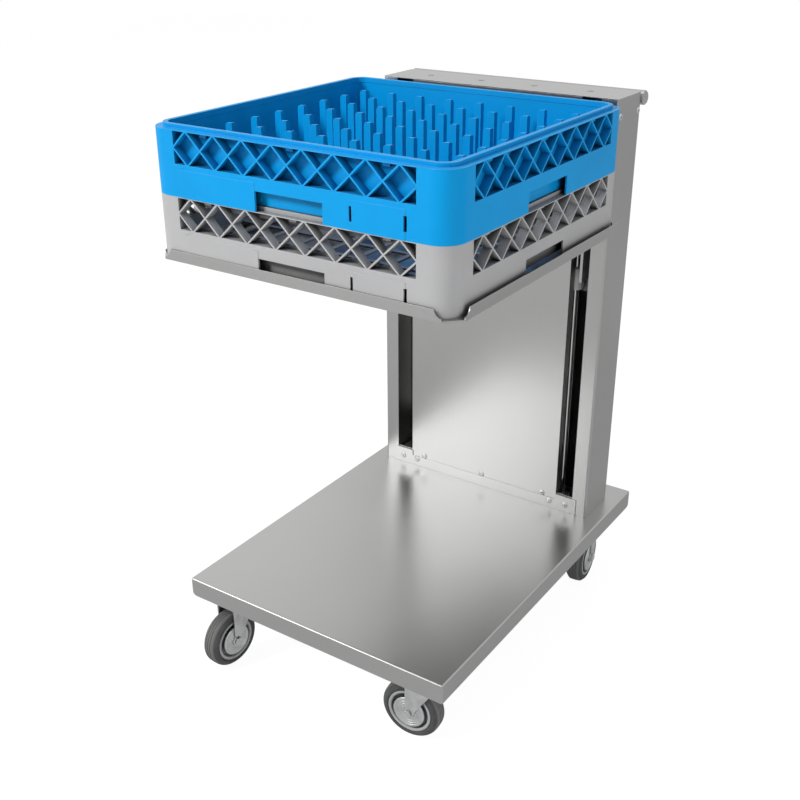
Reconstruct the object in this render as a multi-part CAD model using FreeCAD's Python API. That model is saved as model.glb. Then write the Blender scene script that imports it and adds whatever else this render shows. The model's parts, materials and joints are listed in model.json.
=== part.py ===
"""Cantilever rack trolley: a wheeled base, a hollow column at the rear and a spring-lifted tray.

The tray carries two stacked dishwasher racks. Millimetres, +Z up, front towards -Y.
The origin lies on the floor, under the middle of the base.
"""
import FreeCAD
import Part
import math
import os

V = FreeCAD.Vector
UP = V(0, 0, 1)

# Base platform, a pan folded from one sheet, and the channels under it
base_width = 492.0
base_length = 674.0
base_flange = 33.0
base_sheet = 1.5
base_bend = 3.0
base_corner_round = 10.0
channel_sheet = 2.0
channel_width = 96.0
channel_end_gap = 1.0

# Casters: one size of wheel, each turned to its own angle
wheel_diameter = 100.0
tyre_width = 30.0
tyre_shoulder = 4.0
tread_groove_width = 2.4
tread_groove_depth = 1.2
tread_groove_pitch = 8.0
rim_radius = 36.5
rim_lip = 5.0
rim_dish = 5.0
hub_radius = 11.0
axle_radius = 4.0
guard_radius = 27.0
guard_thickness = 1.8
caster_height = 139.0
plate_recess = 8.0
caster_trail = 30.0
caster_side_inset = 54.5
caster_end_inset = 57.0
plate_length = 94.0
plate_width = 84.0
plate_thickness = 3.5
race_radius = 30.0
race_height = 6.0
fork_gap = 36.0
fork_sheet = 3.0
fork_top_front = 28.0
fork_fold_setback = 16.0
fork_fold_in = 6.0
fork_eye_radius = 10.0
fork_back_edge = 5.0
crown_height = 121.0
crown_thickness = 4.0
kingpin_radius = 6.0
kingpin_head_radius = 9.0
kingpin_head = 6.0
bolt_pitch_x = 76.0
bolt_pitch_y = 60.0
bolt_radius = 4.0
bolt_head_flats = 13.0
bolt_head_height = 5.3
axle_head_height = 3.5
caster_angles = {"front_left": 84.5, "front_right": 5.0, "rear_right": 96.0, "rear_left": 268.0}

# Column: a folded shell, a front panel between two slots, and a cap
column_width = 436.0
column_depth = 90.0
column_height = 744.0
column_rear_inset = 48.0
column_sheet = 1.5
column_bend = 4.0
slot_inner = 157.0
slot_outer = 190.0
panel_fold = 18.0
panel_bottom_gap = 0.5
cap_lip = 40.0
foot_thickness = 3.0
foot_upstand = 30.0
foot_rail_sheet = 1.5
foot_rail_height = 20.8
ear_height = 31.0
ear_inner = 155.5
ear_outer = 198.0

# Lift inside the column: rods, bushes, springs and stops
rod_radius = 6.0
rod_spread = 152.0
rod_setback = 35.0
bush_radius = 12.5
bush_length = 38.0
bush_foot_width = 20.0
block_width = 26.0
block_depth = 20.0
upper_block_height = 25.0
lower_block_height = 12.0
hanger_sheet = 2.5
hanger_depth = 18.0
hanger_front_setback = 23.0
hanger_width = 46.0
buffer_radius = 11.5
upper_buffer_height = 8.0
lower_buffer_radius = 15.0
lower_buffer_height = 37.0
lower_buffer_spread = 100.0
lower_bush_drop = 136.0
carriage_thickness = 4.0
carriage_half_width = 182.0
carriage_below_bush = 7.0
spring_lip = 24.0
spring_radius = 8.0
spring_wire = 2.0
spring_eye = 20.0
spring_count = 6
spring_pitch = 48.0

# Carrier arms and tray
arm_thickness = 5.0
arm_depth = 40.0
arm_nose_depth = 20.0
arm_heel_depth = 114.0
arm_flange = 20.0
arm_flange_thickness = 4.0
arm_flange_gap = 9.0
arm_nose_inset = 120.0
tray_height = 554.0
tray_size = 512.0
tray_sheet = 2.0
tray_flange = 16.0
tray_corner_cut = 22.0
tray_end_curve = 11.0
tray_offset = -79.0
tray_bolt_rows = 3
tray_bolt_pitch = 140.0

# Racks, both from one frame size that fits in the tray with some play
rack_play = 4.8
rack_stand_off = 0.6
rack_height = 98.0
rack_corner = 34.0
rack_wall = 2.8
rack_nest = 5.4
rack_skirt = 45.2
rack_shelf = 2.2
rack_post = 50.0
lattice_depth = 14.0
lattice_cells = 8
lattice_rib = 2.4
inner_wall = 2.5
rim_proud = 3.5
rim_inner_lip = 1.0
rim_band = 12.0
rack_floor_height = 12.0
rack_floor = 3.0
inner_wall_base = 6.0
floor_bar = 8.0
peg_rows = 8
peg_pitch = 55.0
peg_drop = 12.5
peg_width = 11.6
peg_depth = 9.6
peg_sheet = 3.0
peg_round = 5.0
scallop_rise = 6.0
tab_cells = 3
tab_width = 12.0
tab_depth = 6.0
tab_drop = 5.0
hand_hold_width = 112.0
hand_hold_height = 28.0
slit_width = 4.5
slit_height = 20.0
slit_base = 11.0
slit_near = 100.0
slit_far = 182.4
pad_proud = 0.8
pad_height = 39.0
pad_left_start = -189.0

# Push bar along the rear top edge, and small fasteners
push_bar_radius = 11.5
push_bar_wall = 1.5
push_bar_overhang = 1.5
plug_thickness = 2.0
plug_depth = 10.0
push_bar_screw_spread = 150.0
cap_screw_count = 4
cap_screw_pitch = 100.0
cap_screw_radius = 2.6
cap_screw_shank = 1.9
small_screw_radius = 2.8
small_screw_head = 1.2
small_screw_shank = 1.9
small_screw_reach = 5.0
side_screw_drop = 29.0
side_screw_front = 12.5
side_screw_rear = 8.5
ear_screw_spread = 177.0
inner_screw_spread = 145.0
rail_screw_height = 15.0
panel_screw_spread = 129.0
panel_screw_height = 25.5
column_bolt_spread = 185.0

# Clearances
run_clearance = 0.05
seat_gap = 0.3
press_clearance = 0.02
screw_clearance = 0.1

# Levels and planes that follow from the sizes above
flange_z = caster_height - plate_recess
deck_z = flange_z + base_flange
deck_under_z = deck_z - base_sheet
column_rear_y = base_length / 2 - column_rear_inset
column_front_y = column_rear_y - column_depth
column_top_z = deck_z + column_height
cap_under_z = column_top_z - column_sheet
column_in = column_width / 2 - column_sheet
lip_in = column_in - column_sheet
panel_top_z = cap_under_z - column_sheet
hanger_z = panel_top_z - hanger_sheet
hanger_y0 = column_front_y + hanger_front_setback
rod_y = column_front_y + rod_setback
foot_z = deck_z + foot_thickness
tray_z = deck_z + tray_height
tray_top_z = tray_z + tray_sheet
carriage_y = rod_y + bush_radius + run_clearance
carriage_back_y = carriage_y + carriage_thickness
spring_y = carriage_back_y + spring_lip / 2
upper_bush_z = hanger_z - upper_block_height - upper_buffer_height - seat_gap - bush_length
lower_bush_z = tray_z - lower_bush_drop
carriage_z = lower_bush_z - carriage_below_bush
carriage_top_z = upper_bush_z + bush_length
lift_travel = carriage_z - foot_z - lower_buffer_height - seat_gap
arm_x = (slot_inner + slot_outer) / 2
rack_pitch = rack_height - rack_nest
rack_size = tray_size - 2 * (tray_sheet + rack_play)
rack_half = rack_size / 2
rack_shift = rack_stand_off + pad_proud - rack_play
rack_inner_half = rack_half - lattice_depth
window_half = rack_half - rack_post
axle_z = wheel_diameter / 2
push_bar_y = column_rear_y + push_bar_radius + press_clearance
push_bar_z = column_top_z - push_bar_radius


def box(x0, x1, y0, y1, z0, z1):
    return Part.makeBox(x1 - x0, y1 - y0, z1 - z0, V(x0, y0, z0))


def post(radius, x, y, z0, z1):
    return Part.makeCylinder(radius, z1 - z0, V(x, y, z0), UP)


def hollow_post(radius, bore, x, y, z0, z1):
    return post(radius, x, y, z0, z1).cut(post(bore, x, y, z0, z1))


def pin_along(axis, radius, start, length):
    return Part.makeCylinder(radius, length, start, axis)


def hex_prism(flats, height, x, y, z):
    corner = flats / math.sqrt(3)
    ring = [V(x + corner * math.cos(math.radians(a)), y + corner * math.sin(math.radians(a)), z)
            for a in range(0, 361, 60)]
    return Part.Face(Part.makePolygon(ring)).extrude(V(0, 0, height))


def polygon_prism(points, sweep):
    return Part.Face(Part.makePolygon(points + [points[0]])).extrude(sweep)


def fused(shapes):
    first = shapes[0].multiFuse(shapes[1:]) if len(shapes) > 1 else shapes[0]
    return first.removeSplitter()


def group(shapes):
    return Part.makeCompound(shapes)


def mirrored(shape):
    return shape.mirror(V(0, 0, 0), V(1, 0, 0))


def turned(shape, angle, x, y):
    copy = shape.copy()
    copy.rotate(V(0, 0, 0), UP, angle)
    copy.translate(V(x, y, 0))
    return copy


# Base

def base_platform():
    half_w = base_width / 2
    half_l = base_length / 2
    outer = box(-half_w, half_w, -half_l, half_l, flange_z, deck_z)
    soft = [e for e in outer.Edges if e.BoundBox.ZMax > deck_z - base_sheet]
    outer = outer.makeFillet(base_bend, soft)
    hollow = box(-half_w + base_sheet, half_w - base_sheet, -half_l + base_sheet, half_l - base_sheet,
                 flange_z, deck_under_z)
    pan = outer.cut(hollow)
    for x, y in ((-half_w, -half_l), (-half_w, half_l), (half_w, half_l)):
        pan = pan.cut(corner_relief(x, y))
    for x, y in column_bolt_places():
        pan = pan.cut(post(bolt_radius + screw_clearance, x, y, deck_under_z, deck_z))
    return pan


def corner_relief(x, y):
    """What comes off the two flanges where they meet at a corner, so that both end in a round."""
    inward_x = math.copysign(base_corner_round, -x)
    inward_y = math.copysign(base_corner_round, -y)
    x0, x1 = sorted((x, x + inward_x))
    y0, y1 = sorted((y, y + inward_y))
    low = flange_z
    high = flange_z + base_corner_round
    round_x = Part.makeCylinder(base_corner_round, 2 * base_corner_round,
                                V(x + inward_x, y - base_corner_round, high), V(0, 1, 0))
    round_y = Part.makeCylinder(base_corner_round, 2 * base_corner_round,
                                V(x - base_corner_round, y + inward_y, high), V(1, 0, 0))
    along_x = box(x0, x1, y - base_sheet, y + base_sheet, low, high)
    along_y = box(x - base_sheet, x + base_sheet, y0, y1, low, high)
    square = box(x0, x1, y0, y1, low, high)
    return square.common(fused([along_x.cut(round_x), along_y.cut(round_y)]))


def base_channel(y):
    half_l = base_width / 2 - base_sheet - channel_end_gap
    half_w = channel_width / 2
    outer = box(-half_l, half_l, y - half_w, y + half_w, caster_height, deck_under_z)
    hollow = box(-half_l, half_l, y - half_w + channel_sheet, y + half_w - channel_sheet,
                 caster_height + channel_sheet, deck_under_z)
    channel = outer.cut(hollow)
    for sx, sy in caster_places().values():
        if sy * y > 0:
            for x, hole_y in bolt_places(sx, sy):
                channel = channel.cut(post(bolt_radius + screw_clearance, x, hole_y,
                                           caster_height, caster_height + channel_sheet))
    return channel


# Casters, drawn about their swivel axis with the wheel behind it on -X

def caster_places():
    x = base_width / 2 - caster_side_inset
    y = base_length / 2 - caster_end_inset
    return {"front_left": (-x, -y), "front_right": (x, -y), "rear_right": (x, y), "rear_left": (-x, y)}


def bolt_places(x, y):
    return [(x + sx * bolt_pitch_x / 2, y + sy * bolt_pitch_y / 2) for sx in (-1, 1) for sy in (-1, 1)]


def caster_plate(x, y):
    low = caster_height - plate_thickness
    plate = box(x - plate_length / 2, x + plate_length / 2, y - plate_width / 2, y + plate_width / 2,
                low, caster_height)
    plate = plate.makeFillet(fork_sheet, [e for e in plate.Edges if e.BoundBox.ZLength > plate_thickness / 2])
    plate = plate.fuse(post(race_radius, x, y, low - race_height, low)).removeSplitter()
    plate = plate.cut(post(kingpin_radius + press_clearance, x, y, low - race_height, caster_height))
    for bx, by in bolt_places(x, y):
        plate = plate.cut(post(bolt_radius + screw_clearance, bx, by, low, caster_height))
    return plate


def caster_kingpin(x, y):
    top = crown_height - seat_gap
    return fused([post(kingpin_radius, x, y, top - kingpin_head, caster_height),
                  post(kingpin_head_radius, x, y, top - kingpin_head, top)])


def caster_bolt(x, y):
    low = caster_height - plate_thickness
    web_top = caster_height + channel_sheet
    return fused([hex_prism(bolt_head_flats, bolt_head_height, x, y, low - bolt_head_height),
                  post(bolt_radius, x, y, low, web_top + bolt_head_height),
                  hex_prism(bolt_head_flats, bolt_head_height, x, y, web_top)])


def fork_leg(side):
    """One leg: flat behind an upright fold line, and folded in towards the wheel in front of it."""
    cx = -caster_trail
    y = side * fork_gap / 2
    top = crown_height + crown_thickness
    fold = -fork_fold_setback

    def eye(angle):
        return V(cx + fork_eye_radius * math.cos(angle), y, axle_z + fork_eye_radius * math.sin(angle))

    back_angle = math.acos(-fork_back_edge / fork_eye_radius)
    sweep = back_angle - 2 * math.pi
    back = eye(back_angle)
    front = eye(0)
    bottom = Part.Arc(front, eye(sweep / 2), back).toShape()
    back_top = V(back.x, y, top)
    fold_top = V(fold, y, top)
    fold_low = V(fold, y, axle_z + fork_eye_radius)
    wire = Part.Wire([bottom, Part.makeLine(back, back_top), Part.makeLine(back_top, fold_top),
                      Part.makeLine(fold_top, fold_low), Part.makeLine(fold_low, front)])
    outward = V(0, side * fork_sheet, 0)
    flat = Part.Face(wire).extrude(outward)
    tip = V(fork_top_front, y - side * fork_fold_in, top)
    return flat.fuse(polygon_prism([fold_low, fold_top, tip], outward))


def caster_fork():
    half = fork_gap / 2
    top = crown_height + crown_thickness
    race_top = caster_height - plate_thickness - race_height - seat_gap
    back = -caster_trail - fork_back_edge
    crown = polygon_prism([V(back, -half, crown_height), V(-fork_fold_setback, -half, crown_height),
                           V(fork_top_front, fork_fold_in - half, crown_height),
                           V(fork_top_front, half - fork_fold_in, crown_height),
                           V(-fork_fold_setback, half, crown_height), V(back, half, crown_height)],
                          V(0, 0, crown_thickness))
    body = fused([fork_leg(1), fork_leg(-1), crown,
                  post(race_radius - fork_sheet, 0, 0, top, race_top)])
    body = body.cut(post(kingpin_radius + run_clearance, 0, 0, crown_height, race_top))
    span = fork_gap + 2 * fork_sheet
    hole = pin_along(V(0, 1, 0), axle_radius + screw_clearance, V(-caster_trail, -span / 2, axle_z), span)
    return body.cut(hole).cut(caster_guards())


def axle_head(side):
    turn_out = hex_prism(bolt_head_flats, axle_head_height, 0, 0, fork_gap / 2 + fork_sheet)
    turn_out.rotate(V(0, 0, 0), V(1, 0, 0), -90 * side)
    turn_out.translate(V(-caster_trail, 0, axle_z))
    return turn_out


def caster_axle():
    half = fork_gap / 2 + fork_sheet
    shaft = pin_along(V(0, 1, 0), axle_radius, V(-caster_trail, -half, axle_z), 2 * half)
    return fused([shaft, axle_head(1), axle_head(-1)])


def spun(profile):
    """A solid turned about the axle from points given as (radius, distance along the axle)."""
    ring = [V(-caster_trail, along, axle_z + radius) for radius, along in profile]
    face = Part.Face(Part.makePolygon(ring + [ring[0]]))
    return face.revolve(V(-caster_trail, 0, axle_z), V(0, 1, 0), 360)


def caster_guards():
    bore = axle_radius + screw_clearance
    inner = fork_gap / 2 - guard_thickness
    edge = guard_radius - guard_thickness
    cup = [(bore, inner), (edge, inner), (guard_radius, inner - guard_thickness),
           (guard_radius, inner), (edge, fork_gap / 2), (bore, fork_gap / 2)]
    return group([spun(cup), spun([(r, -a) for r, a in cup])])


def wheel_hub():
    bore = axle_radius + run_clearance
    barrel = fork_gap / 2 - guard_thickness - seat_gap
    half = tyre_width / 2
    web = half - rim_dish - rim_lip
    side = [(bore, barrel), (hub_radius, barrel), (hub_radius, web), (rim_radius - rim_lip, web),
            (rim_radius - rim_lip, half), (rim_radius, half)]
    return spun(side + [(r, -a) for r, a in reversed(side)])


def wheel_tyre():
    tread = wheel_diameter / 2
    half = tyre_width / 2
    flank = tread - tyre_shoulder
    outline = [(rim_radius + press_clearance, -half), (flank, -half), (tread, -half + tyre_shoulder)]
    for groove in (-1, 0, 1):
        middle = groove * tread_groove_pitch
        outline += [(tread, middle - tread_groove_width / 2),
                    (tread - tread_groove_depth, middle - tread_groove_width / 2),
                    (tread - tread_groove_depth, middle + tread_groove_width / 2),
                    (tread, middle + tread_groove_width / 2)]
    outline += [(tread, half - tyre_shoulder), (flank, half), (rim_radius + press_clearance, half)]
    return spun(outline)


# Column

def column_bolt_places():
    y = (column_front_y + column_rear_y) / 2
    return [(side * column_bolt_spread, y + step * column_depth / 4) for side in (-1, 1) for step in (-1, 1)]


def column_shell():
    half = column_width / 2
    outer = box(-half, half, column_front_y, column_rear_y, deck_z, cap_under_z)
    upright = [e for e in outer.Edges if e.BoundBox.ZLength > column_height / 2]
    outer = outer.makeFillet(column_bend, upright)
    hollow = box(-column_in, column_in, column_front_y + column_sheet, column_rear_y - column_sheet,
                 deck_z, cap_under_z)
    inner_upright = [e for e in hollow.Edges if e.BoundBox.ZLength > column_height / 2]
    hollow = hollow.makeFillet(column_bend - column_sheet, inner_upright)
    mouth = box(-slot_outer, slot_outer, column_front_y, column_front_y + column_sheet, deck_z, cap_under_z)
    shell = outer.cut(hollow).cut(mouth)
    for y, z in side_screw_places():
        shell = shell.cut(pin_along(V(1, 0, 0), small_screw_shank + screw_clearance,
                                    V(-half, y, z), 2 * half))
    for x in (-push_bar_screw_spread, push_bar_screw_spread):
        shell = shell.cut(pin_along(V(0, 1, 0), small_screw_shank + screw_clearance,
                                    V(x, column_rear_y - column_sheet, push_bar_z), column_sheet))
    return shell


def column_front_panel():
    y = column_front_y
    low = deck_z + panel_bottom_gap
    face = box(-slot_inner, slot_inner, y, y + column_sheet, low, cap_under_z)
    fold = box(slot_inner - column_sheet, slot_inner, y, y + panel_fold, foot_z + foot_upstand, panel_top_z)
    flange = box(-slot_inner, slot_inner, y, hanger_y0 + hanger_width, panel_top_z, cap_under_z)
    panel = fused([face, fold, mirrored(fold), flange])
    for x in panel_screw_places():
        panel = panel.cut(pin_along(V(0, 1, 0), small_screw_shank + screw_clearance,
                                    V(x, y, deck_z + panel_screw_height), column_sheet))
    for x, z in rail_screw_places():
        panel = panel.cut(pin_along(V(0, 1, 0), small_screw_shank + screw_clearance,
                                    V(x, y, z), column_sheet))
    for x in cap_screw_places():
        panel = panel.cut(post(cap_screw_shank + screw_clearance, x, cap_screw_y(), panel_top_z, cap_under_z))
    return panel


def column_foot():
    half = column_in - column_bend
    y0 = column_front_y + column_sheet
    plate = box(-half, half, y0, column_rear_y - column_sheet - column_bend, deck_z, foot_z)
    upstand = box(-half, half, y0, y0 + foot_thickness, foot_z, foot_z + foot_upstand)
    foot = fused([plate, upstand])
    for x, y in column_bolt_places():
        foot = foot.cut(post(bolt_radius + screw_clearance, x, y, deck_z, foot_z))
    holes = [(x, deck_z + panel_screw_height) for x in panel_screw_places()] + rail_screw_places()
    for x, z in holes:
        foot = foot.cut(pin_along(V(0, 1, 0), small_screw_shank + screw_clearance,
                                  V(x, y0, z), foot_thickness))
    return foot


def column_foot_rail():
    y0 = column_front_y - foot_rail_sheet
    strip = box(-ear_outer, ear_outer, y0, column_front_y, deck_z, deck_z + foot_rail_height)
    ear = box(ear_inner, ear_outer, y0, column_front_y, deck_z + foot_rail_height, deck_z + ear_height)
    rail = fused([strip, ear, mirrored(ear)])
    for x, z in rail_screw_places():
        rail = rail.cut(pin_along(V(0, 1, 0), small_screw_shank + screw_clearance,
                                  V(x, y0, z), foot_rail_sheet))
    return rail


def column_cap():
    half = column_width / 2
    top = box(-half, half, column_front_y, column_rear_y, cap_under_z, column_top_z)
    top = top.makeFillet(column_bend, [e for e in top.Edges if e.BoundBox.ZLength > column_sheet / 2])
    low = cap_under_z - cap_lip
    lip = box(lip_in, column_in, column_front_y + column_bend, column_rear_y - column_bend, low, cap_under_z)
    cap = fused([top, lip, mirrored(lip)])
    for x in cap_screw_places():
        cap = cap.cut(Part.makeCone(cap_screw_shank, cap_screw_radius, column_sheet,
                                    V(x, cap_screw_y(), cap_under_z), UP))
    for y, z in side_screw_places():
        cap = cap.cut(pin_along(V(1, 0, 0), small_screw_shank + screw_clearance, V(-half, y, z), 2 * half))
    return cap


def spring_hanger_rail():
    y1 = hanger_y0 + hanger_width
    outer = box(-lip_in, lip_in, hanger_y0, y1, panel_top_z - hanger_depth, panel_top_z)
    hollow = box(-lip_in, lip_in, hanger_y0 + hanger_sheet, y1 - hanger_sheet,
                 panel_top_z - hanger_depth, hanger_z)
    rail = outer.cut(hollow)
    for x in cap_screw_places():
        rail = rail.cut(post(cap_screw_shank + screw_clearance, x, cap_screw_y(), hanger_z, panel_top_z))
    return rail


def cap_screw_y():
    return (column_front_y + column_rear_y) / 2


def cap_screw_places():
    return [cap_screw_pitch * (i - (cap_screw_count - 1) / 2) for i in range(cap_screw_count)]


def cap_screws():
    def screw(x):
        y = cap_screw_y()
        shank = cap_screw_shank - press_clearance
        head = Part.makeCone(shank, cap_screw_radius - press_clearance, column_sheet,
                             V(x, y, cap_under_z), UP)
        return fused([head, post(shank, x, y, hanger_z, cap_under_z)])
    return group([screw(x) for x in cap_screw_places()])


def small_screw(at, outward):
    """A low button-head screw whose head sits at the point given and faces outward."""
    head = Part.makeCone(small_screw_radius, small_screw_radius / 2, small_screw_head, at, outward)
    shank = Part.makeCylinder(small_screw_shank, small_screw_reach, at, outward.negative())
    return head.fuse(shank).removeSplitter()


def side_screw_places():
    z = column_top_z - side_screw_drop
    return [(column_front_y + side_screw_front, z), (column_rear_y - side_screw_rear, z)]


def side_screws():
    half = column_width / 2
    return group([small_screw(V(side * half, y, z), V(side, 0, 0))
                  for side in (-1, 1) for y, z in side_screw_places()])


def rail_screw_places():
    spreads = (-ear_screw_spread, -inner_screw_spread, inner_screw_spread, ear_screw_spread)
    return [(x, deck_z + rail_screw_height) for x in spreads]


def foot_rail_screws():
    y = column_front_y - foot_rail_sheet
    return group([small_screw(V(x, y, z), V(0, -1, 0)) for x, z in rail_screw_places()])


def panel_screw_places():
    return [-panel_screw_spread, 0.0, panel_screw_spread]


def panel_screws():
    z = deck_z + panel_screw_height
    return group([small_screw(V(x, column_front_y, z), V(0, -1, 0)) for x in panel_screw_places()])


def column_bolt(x, y):
    return fused([hex_prism(bolt_head_flats, bolt_head_height, x, y, foot_z),
                  post(bolt_radius, x, y, deck_under_z, foot_z),
                  hex_prism(bolt_head_flats, bolt_head_height, x, y, deck_under_z - bolt_head_height)])


def push_bar():
    half = column_width / 2 + push_bar_overhang
    start = V(-half, push_bar_y, push_bar_z)
    tube = pin_along(V(1, 0, 0), push_bar_radius, start, 2 * half)
    tube = tube.cut(pin_along(V(1, 0, 0), push_bar_radius - push_bar_wall, start, 2 * half))
    for x in (-push_bar_screw_spread, push_bar_screw_spread):
        tube = tube.cut(pin_along(V(0, 1, 0), small_screw_shank + screw_clearance,
                                  V(x, column_rear_y, push_bar_z), push_bar_radius))
    return tube


def push_bar_plug(side):
    end = V(side * (column_width / 2 + push_bar_overhang), push_bar_y, push_bar_z)
    out = V(side, 0, 0)
    disc = Part.makeCone(push_bar_radius, push_bar_radius - plug_thickness, plug_thickness, end, out)
    stub_radius = push_bar_radius - push_bar_wall - press_clearance
    return disc.fuse(Part.makeCylinder(stub_radius, plug_depth, end, out.negative())).removeSplitter()


def push_bar_screws():
    y = column_rear_y - column_sheet
    inward = V(0, -1, 0)
    return group([small_screw(V(side * push_bar_screw_spread, y, push_bar_z), inward) for side in (-1, 1)])


# Lift

def guide_rod(side):
    return post(rod_radius, side * rod_spread, rod_y, foot_z, hanger_z)


def rod_block(side, z0, z1):
    y0 = hanger_y0 + hanger_sheet
    x = side * rod_spread
    body = box(x - block_width / 2, x + block_width / 2, y0, y0 + block_depth, z0, z1)
    return body.cut(post(rod_radius + press_clearance, x, rod_y, z0, z1))


def rod_blocks():
    spans = ((foot_z, foot_z + lower_block_height), (hanger_z - upper_block_height, hanger_z))
    return group([rod_block(side, low, high) for side in (-1, 1) for low, high in spans])


def upper_buffers():
    z1 = hanger_z - upper_block_height
    return group([hollow_post(buffer_radius, rod_radius + press_clearance, side * rod_spread, rod_y,
                              z1 - upper_buffer_height, z1) for side in (-1, 1)])


def lower_buffers():
    return group([post(lower_buffer_radius, side * lower_buffer_spread, spring_y, foot_z,
                       foot_z + lower_buffer_height) for side in (-1, 1)])


def lift_spring(x):
    low = carriage_z + carriage_thickness
    coil = hollow_post(spring_radius, spring_radius - spring_wire, x, spring_y, low + spring_eye,
                       hanger_z - spring_eye)
    ends = [post(spring_radius, x, spring_y, low + spring_eye - spring_wire, low + spring_eye),
            post(spring_radius, x, spring_y, hanger_z - spring_eye, hanger_z - spring_eye + spring_wire),
            post(spring_wire, x, spring_y, low, low + spring_eye),
            post(spring_wire, x, spring_y, hanger_z - spring_eye, hanger_z)]
    return fused([coil] + ends)


def lift_springs():
    return group([lift_spring(spring_pitch * (i - (spring_count - 1) / 2)) for i in range(spring_count)])


def carriage_plate():
    plate = box(-carriage_half_width, carriage_half_width, carriage_y, carriage_back_y,
                carriage_z, carriage_top_z)
    lip = box(-carriage_half_width, carriage_half_width, carriage_back_y, carriage_back_y + spring_lip,
              carriage_z, carriage_z + carriage_thickness)
    return fused([plate, lip])


def slide_bush(side, z):
    x = side * rod_spread
    barrel = post(bush_radius, x, rod_y, z, z + bush_length)
    foot = box(x - bush_foot_width / 2, x + bush_foot_width / 2, rod_y, carriage_y, z, z + bush_length)
    return fused([barrel, foot]).cut(post(rod_radius + run_clearance, x, rod_y, z, z + bush_length))


def slide_bushes():
    return group([slide_bush(side, z) for side in (-1, 1) for z in (lower_bush_z, upper_bush_z)])


def carrier_arm(side):
    x0 = arm_x - arm_thickness / 2
    nose = tray_offset - tray_size / 2 + arm_nose_inset
    heel = column_front_y + column_sheet + foot_thickness
    outline = [V(x0, carriage_y, tray_z - arm_heel_depth), V(x0, carriage_y, tray_z), V(x0, nose, tray_z),
               V(x0, nose, tray_z - arm_nose_depth), V(x0, tray_offset, tray_z - arm_depth),
               V(x0, heel, tray_z - arm_depth), V(x0, heel, tray_z - arm_heel_depth)]
    web = polygon_prism(outline, V(arm_thickness, 0, 0))
    flange = box(x0 - arm_flange, x0, nose, column_front_y - arm_flange_gap,
                 tray_z - arm_flange_thickness, tray_z)
    arm = fused([web, flange])
    for x, y in tray_bolt_places():
        arm = arm.cut(post(bolt_radius + screw_clearance, abs(x), y, tray_z - arm_flange_thickness, tray_z))
    return arm if side > 0 else mirrored(arm)


def tray_bolt_places():
    x = arm_x - arm_thickness / 2 - arm_flange / 2
    return [(side * x, tray_offset + tray_bolt_pitch * (row - (tray_bolt_rows - 1) / 2))
            for side in (-1, 1) for row in range(tray_bolt_rows)]


def tray_bolt(x, y):
    low = tray_z - arm_flange_thickness
    return fused([hex_prism(bolt_head_flats, bolt_head_height, x, y, tray_top_z),
                  post(bolt_radius, x, y, low, tray_top_z),
                  hex_prism(bolt_head_flats, bolt_head_height, x, y, low - bolt_head_height)])


def tray_side():
    """The front flange, its two top corners scooped out by a round cut."""
    half = tray_size / 2
    end = half - tray_corner_cut
    flange = box(-end, end, -half, -half + tray_sheet, tray_z, tray_z + tray_flange)
    for x in (-end, end):
        corner = V(x, -half, tray_z + tray_flange)
        flange = flange.cut(pin_along(V(0, 1, 0), tray_end_curve, corner, tray_sheet))
    return flange


def carrier_tray():
    half = tray_size / 2
    cut = half - tray_corner_cut
    corners = [(cut, -half), (half, -cut), (half, cut), (cut, half),
               (-cut, half), (-half, cut), (-half, -cut), (-cut, -half)]
    plate = polygon_prism([V(x, y, tray_z) for x, y in corners], V(0, 0, tray_sheet))
    tray = fused([plate] + [turned(tray_side(), 90 * i, 0, 0) for i in range(4)])
    tray.translate(V(0, tray_offset, 0))
    for x, y in tray_bolt_places():
        tray = tray.cut(post(bolt_radius + screw_clearance, x, y, tray_z, tray_top_z))
    return tray


# Racks, drawn about their own middle with the bottom edge at zero

def rounded_square(half, radius, z0, z1):
    block = box(-half, half, -half, half, z0, z1)
    return block.makeFillet(radius, [e for e in block.Edges if e.BoundBox.ZLength > (z1 - z0) / 2])


def frame_ring(half, wall, z0, z1):
    """A rounded square ring whose corner follows the rack's outer corner."""
    radius = rack_corner - (rack_half - half)
    return rounded_square(half, radius, z0, z1).cut(rounded_square(half - wall, radius - wall, z0, z1))


def inset_cell(points, distance):
    """A triangle or rhombus drawn inwards by a distance from every side."""
    pairs = list(zip(points, points[1:] + points[:1]))
    sides = [math.dist(a, b) for a, b in pairs]
    if len(points) == 3:
        weights = [sides[1], sides[2], sides[0]]
    else:
        weights = [1.0] * len(points)
    total = sum(weights)
    cu = sum(w * p[0] for w, p in zip(weights, points)) / total
    cz = sum(w * p[1] for w, p in zip(weights, points)) / total
    doubled = abs(sum(a[0] * b[1] - b[0] * a[1] for a, b in pairs))
    scale = 1 - distance / (doubled / sum(sides))
    return [(cu + scale * (u - cu), cz + scale * (z - cz)) for u, z in points]


def lattice_cells_points(low, high):
    """The openings of one side: a row of diamonds and the triangles between them."""
    pitch = 2 * window_half / lattice_cells
    middle = (low + high) / 2
    cells = []
    for i in range(lattice_cells):
        left = -window_half + i * pitch
        centre = left + pitch / 2
        right = left + pitch
        cells.append([(left, middle), (centre, low), (right, middle), (centre, high)])
        if i:
            cells.append([(left, middle), (centre, high), (centre - pitch, high)])
            cells.append([(left, middle), (centre - pitch, low), (centre, low)])
        else:
            cells.append([(left, middle), (centre, high), (left, high)])
            cells.append([(left, middle), (left, low), (centre, low)])
    right = window_half
    cells.append([(right, middle), (right, high), (right - pitch / 2, high)])
    cells.append([(right, middle), (right - pitch / 2, low), (right, low)])
    return cells


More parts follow.
